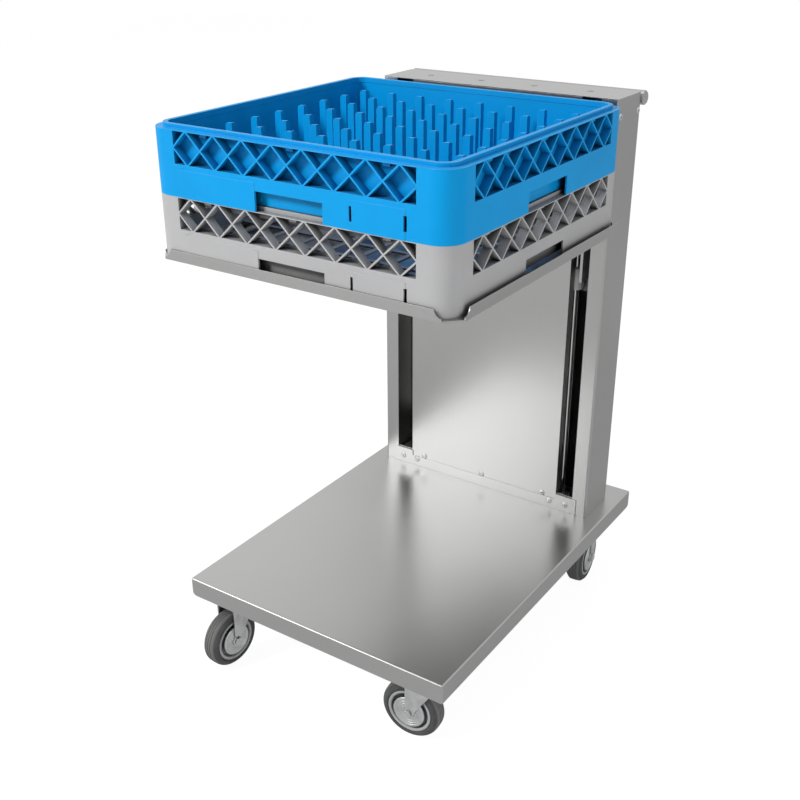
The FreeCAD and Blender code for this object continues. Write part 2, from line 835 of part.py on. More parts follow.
def lattice_side():
    low = rack_skirt
    high = rack_pitch
    y = -rack_half

    def ring(points):
        return Part.makePolygon([V(u, y, z) for u, z in points + [points[0]]])

    border = ring([(-window_half, low), (window_half, low), (window_half, high), (-window_half, high)])
    holes = [ring(inset_cell(cell, lattice_rib / 2)) for cell in lattice_cells_points(low, high)]
    face = Part.Face(border)
    face = face.cut(Part.makeCompound([Part.Face(hole) for hole in holes]))
    return face.Faces[0].extrude(V(0, lattice_depth, 0))


def corner_posts():
    wall = frame_ring(rack_half, rack_wall, rack_skirt, rack_pitch)
    lid = frame_ring(rack_half, lattice_depth, rack_pitch - rack_shelf, rack_pitch)
    posts = wall.fuse(lid)
    long = rack_size
    posts = posts.cut(box(-window_half, window_half, -long, long, 0, rack_height))
    posts = posts.cut(box(-long, long, -window_half, window_half, 0, rack_height))
    jambs = []
    for side in (-1, 1):
        u = side * (window_half + rack_wall / 2)
        jambs.append(box(u - rack_wall / 2, u + rack_wall / 2, -rack_half, -rack_inner_half,
                         rack_skirt, rack_pitch))
    return [posts] + [turned(jamb, 90 * i, 0, 0) for jamb in jambs for i in range(4)]


def floor_grid():
    """A grid of bars, one under each row of pegs, with a rim out to the inner wall."""
    half = rack_inner_half - inner_wall
    reach = peg_pitch * (peg_rows - 1) / 2
    edge = half + floor_bar / 2
    lines = [-edge] + [peg_pitch * i - reach for i in range(peg_rows)] + [edge]
    gaps = [(a + floor_bar / 2, b - floor_bar / 2) for a, b in zip(lines, lines[1:])]
    rim = floor_bar / 2
    gaps[0] = (gaps[0][0] + rim, gaps[0][1])
    gaps[-1] = (gaps[-1][0], gaps[-1][1] - rim)
    z = rack_floor_height

    def flat(x0, x1, y0, y1):
        ring = [(x0, y0), (x1, y0), (x1, y1), (x0, y1), (x0, y0)]
        return Part.Face(Part.makePolygon([V(x, y, z) for x, y in ring]))

    openings = Part.makeCompound([flat(*across, *along) for across in gaps for along in gaps])
    grid = flat(-half, half, -half, half).cut(openings).Faces[0].extrude(V(0, 0, rack_floor))
    trim = rounded_square(half, rack_corner - lattice_depth - inner_wall, z, z + rack_floor)
    return grid.common(trim)


def hand_holds():
    wide = hand_hold_width / 2
    notch = box(-wide, wide, -rack_half - pad_proud, -rack_inner_half, 0, hand_hold_height)
    return [turned(notch, 90 * i, 0, 0) for i in range(4)]


def slits():
    y0 = -rack_half - pad_proud
    y1 = -rack_half + rack_wall
    cuts = [box(x - slit_width / 2, x + slit_width / 2, y0, y1, slit_base, slit_base + slit_height)
            for x in (slit_near, slit_far)]
    return [turned(cut, 180 * i, 0, 0) for cut in cuts for i in range(2)]


def label_pads():
    pads = [box(x0, x1, -rack_half - pad_proud, -rack_half, 0, pad_height)
            for x0, x1 in ((pad_left_start, -hand_hold_width / 2), (slit_near, slit_far))]
    return [turned(pad, 180 * i, 0, 0) for pad in pads for i in range(2)]


def scallops():
    """Low arches on the inner wall, one over each foot of the lattice, for one side."""
    pitch = 2 * window_half / lattice_cells
    y = -rack_inner_half
    arches = []
    for i in range(lattice_cells - 1):
        left = V(-window_half + (i + 0.5) * pitch, y, rack_skirt)
        right = V(left.x + pitch, y, rack_skirt)
        crest = V(left.x + pitch / 2, y, rack_skirt + scallop_rise)
        wire = Part.Wire([Part.Arc(left, crest, right).toShape(), Part.makeLine(right, left)])
        arches.append(Part.Face(wire).extrude(V(0, inner_wall, 0)))
    return arches


def rim_tabs():
    """Small tabs that hang from the rim in the openings between diamonds, for one side."""
    pitch = 2 * window_half / lattice_cells
    low = rack_pitch - rack_shelf - tab_drop
    return [box(x - tab_width / 2, x + tab_width / 2, -rack_inner_half - tab_depth, -rack_inner_half,
                low, rack_pitch) for x in (-tab_cells * pitch, 0, tab_cells * pitch)]


def rack(closed):
    """One rack moulding; a closed rack has a plain inner wall behind its lattice."""
    inner_top = rack_pitch if closed else rack_skirt
    pieces = [frame_ring(rack_half, rack_wall, 0, rack_skirt),
              frame_ring(rack_half, lattice_depth + inner_wall, rack_skirt - rack_shelf, rack_skirt),
              frame_ring(rack_inner_half, inner_wall, inner_wall_base, inner_top),
              frame_ring(rack_inner_half + pad_proud, inner_wall + pad_proud, rack_floor_height,
                         rack_floor_height + rack_floor),
              frame_ring(rack_inner_half + rim_proud, inner_wall + rim_proud + rim_inner_lip,
                         rack_pitch - rack_shelf, rack_height)]
    if not closed:
        pieces.append(frame_ring(rack_inner_half, inner_wall, rack_pitch - rim_band, rack_pitch))
        pieces += [turned(arch, 90 * i, 0, 0) for arch in scallops() for i in range(4)]
    pieces += corner_posts()
    pieces += [turned(lattice_side(), 90 * i, 0, 0) for i in range(4)]
    pieces += [turned(tab, 90 * i, 0, 0) for tab in rim_tabs() for i in range(4)]
    pieces += label_pads()
    pieces.append(floor_grid())
    body = fused(pieces)
    return body.cut(Part.makeCompound(hand_holds() + slits())).removeSplitter()


def peg_plate(length):
    """An upright plate along X, from its round free end at zero to the given length."""
    low = rack_floor_height + rack_floor
    high = rack_height - peg_drop
    turn = math.sqrt(0.5)
    start = V(0, 0, high - peg_round)
    crest = V(peg_round, 0, high)
    between = V(peg_round * (1 - turn), 0, high - peg_round * (1 - turn))
    foot = V(0, 0, low)
    end_top = V(length, 0, high)
    end_low = V(length, 0, low)
    straight = [Part.makeLine(a, b) for a, b in ((crest, end_top), (end_top, end_low),
                                                 (end_low, foot), (foot, start))]
    wire = Part.Wire([Part.Arc(start, between, crest).toShape()] + straight)
    return Part.Face(wire).extrude(V(0, peg_sheet, 0))


def peg():
    """Two upright plates that meet at a corner, each with a round free end."""
    front = turned(peg_plate(peg_width), 0, -peg_width / 2, -peg_depth / 2)
    side = turned(peg_plate(peg_depth), -90, peg_width / 2 - peg_sheet, peg_depth / 2)
    return fused([front, side])


def rack_pegs():
    reach = peg_pitch * (peg_rows - 1) / 2
    steps = [peg_pitch * i - reach for i in range(peg_rows)]
    return group([turned(peg(), 0, x, y) for x in steps for y in steps])


def placed(shape, level):
    """A rack or its pegs, pushed into the tray's left front corner as a loose rack stands."""
    copy = shape.copy()
    copy.translate(V(rack_shift, tray_offset + rack_shift, tray_top_z + level * rack_pitch))
    return copy


def all_nodes():
    places = caster_places()
    caster_y = base_length / 2 - caster_end_inset
    nodes = {
        "base_platform": base_platform(),
        "base_channel_front": base_channel(-caster_y),
        "base_channel_rear": base_channel(caster_y),
        "column_shell": column_shell(),
        "column_front_panel": column_front_panel(),
        "column_foot": column_foot(),
        "column_foot_rail": column_foot_rail(),
        "column_cap": column_cap(),
        "spring_hanger_rail": spring_hanger_rail(),
        "guide_rod_left": guide_rod(-1),
        "guide_rod_right": guide_rod(1),
        "rod_blocks": rod_blocks(),
        "upper_buffers": upper_buffers(),
        "lower_buffers": lower_buffers(),
        "lift_springs": lift_springs(),
        "push_bar": push_bar(),
        "push_bar_plugs": group([push_bar_plug(-1), push_bar_plug(1)]),
        "push_bar_screws": push_bar_screws(),
        "cap_screws": cap_screws(),
        "side_screws": side_screws(),
        "foot_rail_screws": foot_rail_screws(),
        "panel_screws": panel_screws(),
        "column_bolts": group([column_bolt(x, y) for x, y in column_bolt_places()]),
        "caster_kingpins": group([caster_kingpin(x, y) for x, y in places.values()]),
        "caster_bolts": group([caster_bolt(*at) for place in places.values() for at in bolt_places(*place)]),
        "carriage_plate": carriage_plate(),
        "slide_bushes": slide_bushes(),
        "carrier_arm_left": carrier_arm(-1),
        "carrier_arm_right": carrier_arm(1),
        "carrier_tray": carrier_tray(),
        "tray_bolts": group([tray_bolt(x, y) for x, y in tray_bolt_places()]),
        "lower_rack": placed(rack(False), 0),
        "upper_rack": placed(rack(True), 1),
        "upper_rack_pegs": placed(rack_pegs(), 1),
    }
    for corner, (x, y) in places.items():
        angle = caster_angles[corner]
        nodes["caster_plate_" + corner] = caster_plate(x, y)
        nodes["caster_fork_" + corner] = turned(caster_fork(), angle, x, y)
        nodes["caster_axle_" + corner] = turned(caster_axle(), angle, x, y)
        nodes["caster_guards_" + corner] = turned(caster_guards(), angle, x, y)
        nodes["wheel_hub_" + corner] = turned(wheel_hub(), angle, x, y)
        nodes["wheel_tyre_" + corner] = turned(wheel_tyre(), angle, x, y)
    return nodes


os.makedirs("parts", exist_ok=True)
for name, shape in all_nodes().items():
    solids = shape.Solids
    if not solids or not shape.isValid():
        raise ValueError(name + " is not a valid solid")
    shape.exportStep("parts/" + name + ".step")
    print(name, len(solids), "solids", round(shape.Volume / 1000, 1), "cm3")
print("lift travel", round(lift_travel, 2), "mm, tray underside at", tray_z, "mm")
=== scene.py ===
"""Looks of a cantilever rack trolley: brushed sheet metal, moulded racks, swivel casters and a lift.

Every size is in metres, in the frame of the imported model. The solids of the model stay where they
are and get their finish here; a few pieces are modelled again with more detail.
"""
import json
import math

import bmesh
import bpy
from mathutils import Matrix, Vector

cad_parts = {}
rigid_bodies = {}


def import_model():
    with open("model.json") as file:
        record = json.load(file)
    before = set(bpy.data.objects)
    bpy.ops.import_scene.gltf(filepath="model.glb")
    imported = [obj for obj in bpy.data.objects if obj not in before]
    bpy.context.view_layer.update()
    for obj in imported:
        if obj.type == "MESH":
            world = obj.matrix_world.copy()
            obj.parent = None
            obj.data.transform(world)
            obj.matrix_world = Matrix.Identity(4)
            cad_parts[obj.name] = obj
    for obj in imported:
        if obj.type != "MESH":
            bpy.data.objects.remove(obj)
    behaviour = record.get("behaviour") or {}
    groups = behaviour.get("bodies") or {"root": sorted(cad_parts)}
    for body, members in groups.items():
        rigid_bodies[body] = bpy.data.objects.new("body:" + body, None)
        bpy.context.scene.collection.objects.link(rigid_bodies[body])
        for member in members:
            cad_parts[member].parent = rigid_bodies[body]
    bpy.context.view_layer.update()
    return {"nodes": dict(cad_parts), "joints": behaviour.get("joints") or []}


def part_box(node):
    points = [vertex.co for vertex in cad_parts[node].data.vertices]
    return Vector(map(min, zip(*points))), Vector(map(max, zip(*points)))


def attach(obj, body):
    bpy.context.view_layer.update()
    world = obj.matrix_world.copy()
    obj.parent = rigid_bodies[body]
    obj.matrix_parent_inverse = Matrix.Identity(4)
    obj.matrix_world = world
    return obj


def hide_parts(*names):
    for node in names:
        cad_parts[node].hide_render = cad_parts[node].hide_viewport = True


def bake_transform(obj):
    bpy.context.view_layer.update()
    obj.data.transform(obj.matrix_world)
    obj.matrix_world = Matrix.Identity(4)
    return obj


bl_info = {
    "name": "Rack trolley",
    "version": (1, 0, 0),
    "blender": (4, 5, 0),
    "location": "View3D > Sidebar > Trolley",
    "description": "Dresses a packed rack trolley with its finishes, casters, springs and screws",
    "category": "Object",
}

for leftover in list(bpy.data.objects):
    bpy.data.objects.remove(leftover)
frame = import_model()
CORNERS = ("front_left", "front_right", "rear_right", "rear_left")
JOINTS = {joint["name"]: joint for joint in frame["joints"]}
UP = Vector((0, 0, 1))
MERGE_DISTANCE = 1e-6
ROUNDED_FROM = math.radians(32)
SHARP_IN_SOLIDS = math.radians(50)
SHARP_IN_PIECES = math.radians(40)


# Sizes and colours that a user would change

class TrolleySizes(bpy.types.PropertyGroup):
    """Sizes of the dressed pieces."""
    sheet_edge: bpy.props.FloatProperty(
        name="Sheet edge", description="Rounding on the cut edges of sheet metal",
        default=0.00025, min=0.0, unit="LENGTH")
    rack_edge: bpy.props.FloatProperty(
        name="Rack edge", description="Rounding on the moulded edges of the racks",
        default=0.00025, min=0.0, unit="LENGTH")
    forged_edge: bpy.props.FloatProperty(
        name="Fork edge", description="Rounding on forks, bolts and blocks",
        default=0.0005, min=0.0, unit="LENGTH")
    shoulder: bpy.props.FloatProperty(
        name="Tyre shoulder", description="Rounding between tread and side of a tyre",
        default=0.0055, min=0.0005, unit="LENGTH")
    groove: bpy.props.FloatProperty(
        name="Tread groove", description="Width of one groove in the tread",
        default=0.0022, min=0.0005, unit="LENGTH")
    groove_count: bpy.props.IntProperty(
        name="Tread grooves", description="Grooves round the tread of a tyre", default=3, min=1, max=6)
    spring_wire: bpy.props.FloatProperty(
        name="Spring wire", description="Diameter of the wire of a lift spring",
        default=0.0022, min=0.0005, unit="LENGTH")
    spring_turns: bpy.props.IntProperty(
        name="Spring turns", description="Turns of one lift spring", default=34, min=4, max=80)


class TrolleyColours(bpy.types.PropertyGroup):
    """Base colours of the finishes."""
    steel: bpy.props.FloatVectorProperty(
        name="Stainless steel", description="Brushed sheet", subtype="COLOR", size=4,
        default=(0.50, 0.50, 0.495, 1.0), min=0.0, max=1.0)
    zinc: bpy.props.FloatVectorProperty(
        name="Zinc plate", description="Forks, plates, bolts and screws", subtype="COLOR", size=4,
        default=(0.68, 0.69, 0.69, 1.0), min=0.0, max=1.0)
    chrome: bpy.props.FloatVectorProperty(
        name="Chromed rod", description="Guide rods", subtype="COLOR", size=4,
        default=(0.78, 0.78, 0.78, 1.0), min=0.0, max=1.0)
    spring: bpy.props.FloatVectorProperty(
        name="Spring steel", description="Lift springs", subtype="COLOR", size=4,
        default=(0.20, 0.20, 0.205, 1.0), min=0.0, max=1.0)
    rack_blue: bpy.props.FloatVectorProperty(
        name="Peg rack", description="Blue moulding", subtype="COLOR", size=4,
        default=(0.002, 0.340, 0.770, 1.0), min=0.0, max=1.0)
    rack_grey: bpy.props.FloatVectorProperty(
        name="Open rack", description="Grey moulding", subtype="COLOR", size=4,
        default=(0.46, 0.46, 0.465, 1.0), min=0.0, max=1.0)
    bush: bpy.props.FloatVectorProperty(
        name="Slide bush", description="Pale bearing plastic", subtype="COLOR", size=4,
        default=(0.90, 0.90, 0.88, 1.0), min=0.0, max=1.0)
    plug: bpy.props.FloatVectorProperty(
        name="End plug", description="Plugs of the push bar", subtype="COLOR", size=4,
        default=(0.40, 0.40, 0.40, 1.0), min=0.0, max=1.0)
    rim: bpy.props.FloatVectorProperty(
        name="Wheel rim", description="Moulded wheel centre", subtype="COLOR", size=4,
        default=(0.40, 0.41, 0.42, 1.0), min=0.0, max=1.0)
    tyre: bpy.props.FloatVectorProperty(
        name="Tyre", description="Grey rubber", subtype="COLOR", size=4,
        default=(0.065, 0.066, 0.064, 1.0), min=0.0, max=1.0)
    rubber: bpy.props.FloatVectorProperty(
        name="Buffer", description="Black rubber stops", subtype="COLOR", size=4,
        default=(0.020, 0.020, 0.020, 1.0), min=0.0, max=1.0)


# Node helpers

def add_node(tree, kind, feeds=None, **settings):
    """Places a node, sets its properties, and feeds its inputs with values or with other outputs."""
    made = tree.nodes.new(kind)
    for key, value in settings.items():
        setattr(made, key, value)
    for socket, value in (feeds or {}).items():
        if isinstance(value, bpy.types.NodeSocket):
            tree.links.new(value, made.inputs[socket])
        else:
            made.inputs[socket].default_value = value
    return made


def mixed(tree, factor, a, b):
    """A colour between a and b."""
    node = add_node(tree, "ShaderNodeMix", {0: factor, 6: a, 7: b}, data_type="RGBA")
    return node.outputs[2]


def spread(tree, value, low, high, start=0.0, end=1.0):
    """A value moved from the range start to end into the range low to high."""
    feeds = {"Value": value, "From Min": start, "From Max": end, "To Min": low, "To Max": high}
    return add_node(tree, "ShaderNodeMapRange", feeds).outputs["Result"]


def shade(colour, factor):
    """A colour made darker or lighter by a factor."""
    return tuple(min(1.0, part * factor) for part in colour[:3]) + (1.0,)


def new_group(name, inputs, outputs):
    """An empty shader group with named sockets, each given as (name, socket type, default)."""
    tree = bpy.data.node_groups.new(name, "ShaderNodeTree")
    for label, kind, default in inputs:
        socket = tree.interface.new_socket(label, in_out="INPUT", socket_type=kind)
        socket.default_value = default
    for label in outputs:
        tree.interface.new_socket(label, in_out="OUTPUT", socket_type="NodeSocketFloat")
    return tree, tree.nodes.new("NodeGroupInput"), tree.nodes.new("NodeGroupOutput")


def group_node(tree, group, **values):
    """A placed group with its inputs set by name; an underscore in a name stands for a space."""
    node = add_node(tree, "ShaderNodeGroup", node_tree=group)
    for label, value in values.items():
        node.inputs[label.replace("_", " ").capitalize()].default_value = value
    return node


# Effects that several finishes share

def brushed_grain():
    """Fine streaks along one direction, and wide soft clouds."""
    if "Brushed grain" in bpy.data.node_groups:
        return bpy.data.node_groups["Brushed grain"]
    tree, given, out = new_group("Brushed grain", [("Stretch", "NodeSocketVector", (900.0, 900.0, 900.0)),
                                                   ("Cloud scale", "NodeSocketFloat", 5.0)],
                                 ["Streaks", "Clouds"])
    place = add_node(tree, "ShaderNodeTexCoord").outputs["Object"]
    pulled = add_node(tree, "ShaderNodeVectorMath", {0: place, 1: given.outputs["Stretch"]},
                      operation="MULTIPLY").outputs["Vector"]
    fine = add_node(tree, "ShaderNodeTexNoise", {"Vector": pulled, "Scale": 1.0, "Detail": 3.0,
                                                 "Roughness": 0.65}).outputs["Fac"]
    wide = add_node(tree, "ShaderNodeTexNoise", {"Vector": place, "Scale": given.outputs["Cloud scale"],
                                                 "Detail": 2.0, "Roughness": 0.5}).outputs["Fac"]
    tree.links.new(spread(tree, fine, 0.0, 1.0, 0.25, 0.75), out.inputs["Streaks"])
    tree.links.new(spread(tree, wide, 0.0, 1.0, 0.30, 0.70), out.inputs["Clouds"])
    return tree


def edge_wear_and_highlight():
    """One along convex and concave edges, fading over the width given, broken up by noise; the finishes use
    it both for worn edges and for a painted highlight on edges.
    """
    if "Edge wear and highlight" in bpy.data.node_groups:
        return bpy.data.node_groups["Edge wear and highlight"]
    tree, given, out = new_group("Edge wear and highlight", [("Width", "NodeSocketFloat", 0.001),
                                               ("Breakup", "NodeSocketFloat", 60.0)], ["Mask"])
    softened = add_node(tree, "ShaderNodeBevel", {"Radius": given.outputs["Width"]},
                        samples=4).outputs["Normal"]
    plain = add_node(tree, "ShaderNodeNewGeometry").outputs["Normal"]
    alike = add_node(tree, "ShaderNodeVectorMath", {0: softened, 1: plain},
                     operation="DOT_PRODUCT").outputs["Value"]
    edge = spread(tree, alike, 1.0, 0.0, 0.80, 0.995)
    place = add_node(tree, "ShaderNodeTexCoord").outputs["Object"]
    noise = add_node(tree, "ShaderNodeTexNoise", {"Vector": place, "Scale": given.outputs["Breakup"],
                                                  "Detail": 3.0}).outputs["Fac"]
    broken = spread(tree, noise, 0.45, 1.0, 0.35, 0.60)
    mask = add_node(tree, "ShaderNodeMath", {0: edge, 1: broken}, operation="MULTIPLY").outputs["Value"]
    tree.links.new(mask, out.inputs["Mask"])
    return tree


def dust_film():
    """A thin uneven film on faces that look up."""
    if "Dust film" in bpy.data.node_groups:
        return bpy.data.node_groups["Dust film"]
    tree, given, out = new_group("Dust film", [("Patch scale", "NodeSocketFloat", 14.0)], ["Mask"])
    normal = add_node(tree, "ShaderNodeNewGeometry").outputs["Normal"]
    height = add_node(tree, "ShaderNodeSeparateXYZ", {"Vector": normal}).outputs["Z"]
    upward = spread(tree, height, 0.0, 1.0, 0.55, 0.95)
    place = add_node(tree, "ShaderNodeTexCoord").outputs["Object"]
    noise = add_node(tree, "ShaderNodeTexNoise", {"Vector": place, "Scale": given.outputs["Patch scale"],
                                                  "Detail": 5.0, "Roughness": 0.6}).outputs["Fac"]
    patches = spread(tree, noise, 0.15, 1.0, 0.40, 0.68)
    mask = add_node(tree, "ShaderNodeMath", {0: upward, 1: patches}, operation="MULTIPLY").outputs["Value"]
    tree.links.new(mask, out.inputs["Mask"])
    return tree


def moulded_skin():
    """The skin of a moulding: slow tone changes where the melt flowed, and a fine texture."""
    if "Moulded skin" in bpy.data.node_groups:
        return bpy.data.node_groups["Moulded skin"]
    tree, given, out = new_group("Moulded skin", [("Flow scale", "NodeSocketFloat", 9.0),
                                                  ("Grain scale", "NodeSocketFloat", 1400.0)],
                                 ["Tone", "Grain"])
    place = add_node(tree, "ShaderNodeTexCoord").outputs["Object"]
    flow = add_node(tree, "ShaderNodeTexNoise", {"Vector": place, "Scale": given.outputs["Flow scale"],
                                                 "Detail": 2.0, "Distortion": 0.6}).outputs["Fac"]
    grain = add_node(tree, "ShaderNodeTexNoise", {"Vector": place, "Scale": given.outputs["Grain scale"],
                                                  "Detail": 1.0}).outputs["Fac"]
    tree.links.new(spread(tree, flow, 0.0, 1.0, 0.30, 0.70), out.inputs["Tone"])
    tree.links.new(grain, out.inputs["Grain"])
    return tree


def recess_shade():
    """One in the open, falling to zero in corners and hollows narrower than the reach given; it places the
    painted shade.
    """
    if "Recess shade" in bpy.data.node_groups:
        return bpy.data.node_groups["Recess shade"]
    tree, given, out = new_group("Recess shade", [("Reach", "NodeSocketFloat", 0.05),
                                                  ("Closed", "NodeSocketFloat", 0.1),
                                                  ("Open", "NodeSocketFloat", 0.5)], ["Mask"])
    seen = add_node(tree, "ShaderNodeAmbientOcclusion", {"Distance": given.outputs["Reach"]},
                    samples=6).outputs["AO"]
    mask = spread(tree, seen, 0.0, 1.0, given.outputs["Closed"], given.outputs["Open"])
    tree.links.new(mask, out.inputs["Mask"])
    return tree


# Finishes

def new_finish(name):
    """A material with an empty tree, its shader and its output."""
    material = bpy.data.materials.new(name)
    material.use_nodes = True
    tree = material.node_tree
    tree.nodes.clear()
    shader = add_node(tree, "ShaderNodeBsdfPrincipled")
    output = add_node(tree, "ShaderNodeOutputMaterial")
    tree.links.new(shader.outputs["BSDF"], output.inputs["Surface"])
    return material, tree, shader


def bump(tree, shader, height, strength, distance):
    """Lets a pattern raise and sink the surface a little."""
    node = add_node(tree, "ShaderNodeBump", {"Height": height, "Strength": strength, "Distance": distance})
    tree.links.new(node.outputs["Normal"], shader.inputs["Normal"])


def vary_roughness(tree, shader, pattern, least, most):
    """Lets the roughness follow a pattern between two limits."""
    tree.links.new(spread(tree, pattern, least, most), shader.inputs["Roughness"])


def paint_hollow_shade(tree, shader, colour, surface, dark, **limits):
    """Gives the shader its surface colour, with painted shade that falls to a dark share of the finish's
    own colour in hollows.
    """
    hollow = group_node(tree, recess_shade(), **limits)
    shown = mixed(tree, hollow.outputs["Mask"], shade(colour, dark), surface)
    tree.links.new(shown, shader.inputs["Base Color"])


def brushed_steel(name, colour, along, rough=0.29):
    """Brushed stainless sheet whose grain runs along X, Y or Z, with edges lightened as worn and as a
    painted highlight, and painted shade in hollows.
    """
    if name in bpy.data.materials:
        return bpy.data.materials[name]
    material, tree, shader = new_finish(name)
    across = 900.0
    lengthwise = 9.0
    stretch = [lengthwise if axis == along else across for axis in "XYZ"]
    grain = group_node(tree, brushed_grain(), stretch=stretch, cloud_scale=4.0)
    wear_and_highlight = group_node(tree, edge_wear_and_highlight(), width=0.0009, breakup=45.0)
    streaked = mixed(tree, grain.outputs["Streaks"], shade(colour, 0.97), shade(colour, 1.03))
    clouded = mixed(tree, grain.outputs["Clouds"], shade(colour, 0.97), shade(colour, 1.03))
    toned = mixed(tree, 0.5, streaked, clouded)
    # Painted highlight: edges are lightened, partly as worn metal and partly as painted light.
    bright = mixed(tree, wear_and_highlight.outputs["Mask"], toned, shade(colour, 1.12))
    # Painted shade: the colour darkens in hollows and enclosed corners, such as inside the column.
    paint_hollow_shade(tree, shader, colour, bright, dark=0.10, reach=0.09, closed=0.05, open=0.30)
    vary_roughness(tree, shader, grain.outputs["Streaks"], rough - 0.015, rough + 0.02)
    shader.inputs["Metallic"].default_value = 1.0
    bump(tree, shader, grain.outputs["Streaks"], strength=0.006, distance=0.0002)
    return material


def plated(name, colour, rough=0.34):
    """Plated steel with faint clouds, fine scratches, edges brightened as worn and as a painted highlight,
    and painted shade in corners.
    """
    if name in bpy.data.materials:
        return bpy.data.materials[name]
    material, tree, shader = new_finish(name)
    grain = group_node(tree, brushed_grain(), stretch=(420.0, 420.0, 60.0), cloud_scale=70.0)
    wear_and_highlight = group_node(tree, edge_wear_and_highlight(), width=0.0008, breakup=160.0)
    clouded = mixed(tree, grain.outputs["Clouds"], shade(colour, 0.86), shade(colour, 1.08))
    # Painted highlight: edges are brightened, partly as worn plating and partly as painted light.
    bright = mixed(tree, wear_and_highlight.outputs["Mask"], clouded, shade(colour, 1.15))
    # Painted shade: the colour darkens close round bolt heads and in the corners of the forks.
    paint_hollow_shade(tree, shader, colour, bright, dark=0.25, reach=0.008, closed=0.15, open=0.75)
    vary_roughness(tree, shader, grain.outputs["Streaks"], rough - 0.05, rough + 0.08)
    shader.inputs["Metallic"].default_value = 1.0
    bump(tree, shader, grain.outputs["Clouds"], strength=0.05, distance=0.0003)
    return material


def ground_rod(name, colour):
    """A chromed rod with faint turning marks and a thin film of oil."""
    if name in bpy.data.materials:
        return bpy.data.materials[name]
    material, tree, shader = new_finish(name)
    grain = group_node(tree, brushed_grain(), stretch=(30.0, 30.0, 2200.0), cloud_scale=30.0)
    toned = mixed(tree, grain.outputs["Clouds"], shade(colour, 0.88), colour)
    tree.links.new(toned, shader.inputs["Base Color"])
    vary_roughness(tree, shader, grain.outputs["Streaks"], least=0.08, most=0.18)
    shader.inputs["Metallic"].default_value = 1.0
    bump(tree, shader, grain.outputs["Streaks"], strength=0.04, distance=0.0001)
    return material


def moulded_plastic(name, colour, rough=0.36, reach=0.05, closed=0.05, dark=0.4):
    """A satin moulding with edges lightened as worn and as a painted highlight, a little dust where it
    looks up, and painted shade in hollows.
    """
    if name in bpy.data.materials:
        return bpy.data.materials[name]
    material, tree, shader = new_finish(name)
    skin = group_node(tree, moulded_skin(), flow_scale=7.0, grain_scale=1500.0)
    wear_and_highlight = group_node(tree, edge_wear_and_highlight(), width=0.0011, breakup=35.0)
    dust = group_node(tree, dust_film(), patch_scale=11.0)
    toned = mixed(tree, skin.outputs["Tone"], shade(colour, 0.94), shade(colour, 1.04))
    # Painted highlight: edges turn pale, partly as worn plastic and partly as painted light.
    pale_edge_grey = 0.8
    pale_edge_grey_share = 0.25
    pale = [(1 - pale_edge_grey_share) * part + pale_edge_grey_share * pale_edge_grey for part in shade(colour, 1.5)[:3]] + [1.0]
    dust_colour = (0.55, 0.54, 0.52, 1.0)
    rubbed_and_highlit = mixed(tree, spread(tree, wear_and_highlight.outputs["Mask"], 0.0, 0.45), toned, pale)
    dusty = mixed(tree, spread(tree, dust.outputs["Mask"], 0.0, 0.06), rubbed_and_highlit, dust_colour)
    # Painted shade: the colour darkens in hollows and between ribs and pegs.
    paint_hollow_shade(tree, shader, colour, dusty, dark=dark, reach=reach, closed=closed, open=0.5)
    vary_roughness(tree, shader, skin.outputs["Grain"], rough - 0.04, rough + 0.08)
    shader.inputs["IOR"].default_value = 1.49
    shader.inputs["Specular IOR Level"].default_value = 0.13
    bump(tree, shader, skin.outputs["Grain"], strength=0.05, distance=0.0002)
    return material


def rubber(name, colour, rough=0.62, tread=None):
    """Matt rubber with a dusty bloom, and edges lightened as worn and as a painted highlight; past the
    tread radius it is worn pale.
    """
    if name in bpy.data.materials:
        return bpy.data.materials[name]
    material, tree, shader = new_finish(name)
    skin = group_node(tree, moulded_skin(), flow_scale=45.0, grain_scale=2600.0)
    wear_and_highlight = group_node(tree, edge_wear_and_highlight(), width=0.0012, breakup=120.0)
    bloom = mixed(tree, skin.outputs["Tone"], shade(colour, 0.85), shade(colour, 1.2))
    # Edges are lightened by the same mask, partly as worn rubber and partly as a painted highlight.
    rubbed_and_highlit = mixed(tree, spread(tree, wear_and_highlight.outputs["Mask"], 0.0, 0.5), bloom, shade(colour, 1.9))
    if tread:
        place = add_node(tree, "ShaderNodeTexCoord").outputs["Object"]
        flat = add_node(tree, "ShaderNodeVectorMath", {0: place, 1: (1.0, 1.0, 0.0)},
                        operation="MULTIPLY").outputs["Vector"]
        radius = add_node(tree, "ShaderNodeVectorMath", {0: flat}, operation="LENGTH").outputs["Value"]
        fade = 0.0015
        worn = spread(tree, radius, 0.0, 1.0, tread - fade, tread)
        rubbed_and_highlit = mixed(tree, worn, rubbed_and_highlit, shade(colour, 2.2))
    tree.links.new(rubbed_and_highlit, shader.inputs["Base Color"])
    vary_roughness(tree, shader, skin.outputs["Grain"], rough - 0.06, rough + 0.12)
    shader.inputs["IOR"].default_value = 1.5
    bump(tree, shader, skin.outputs["Grain"], strength=0.15, distance=0.0002)
    return material


# Mesh helpers

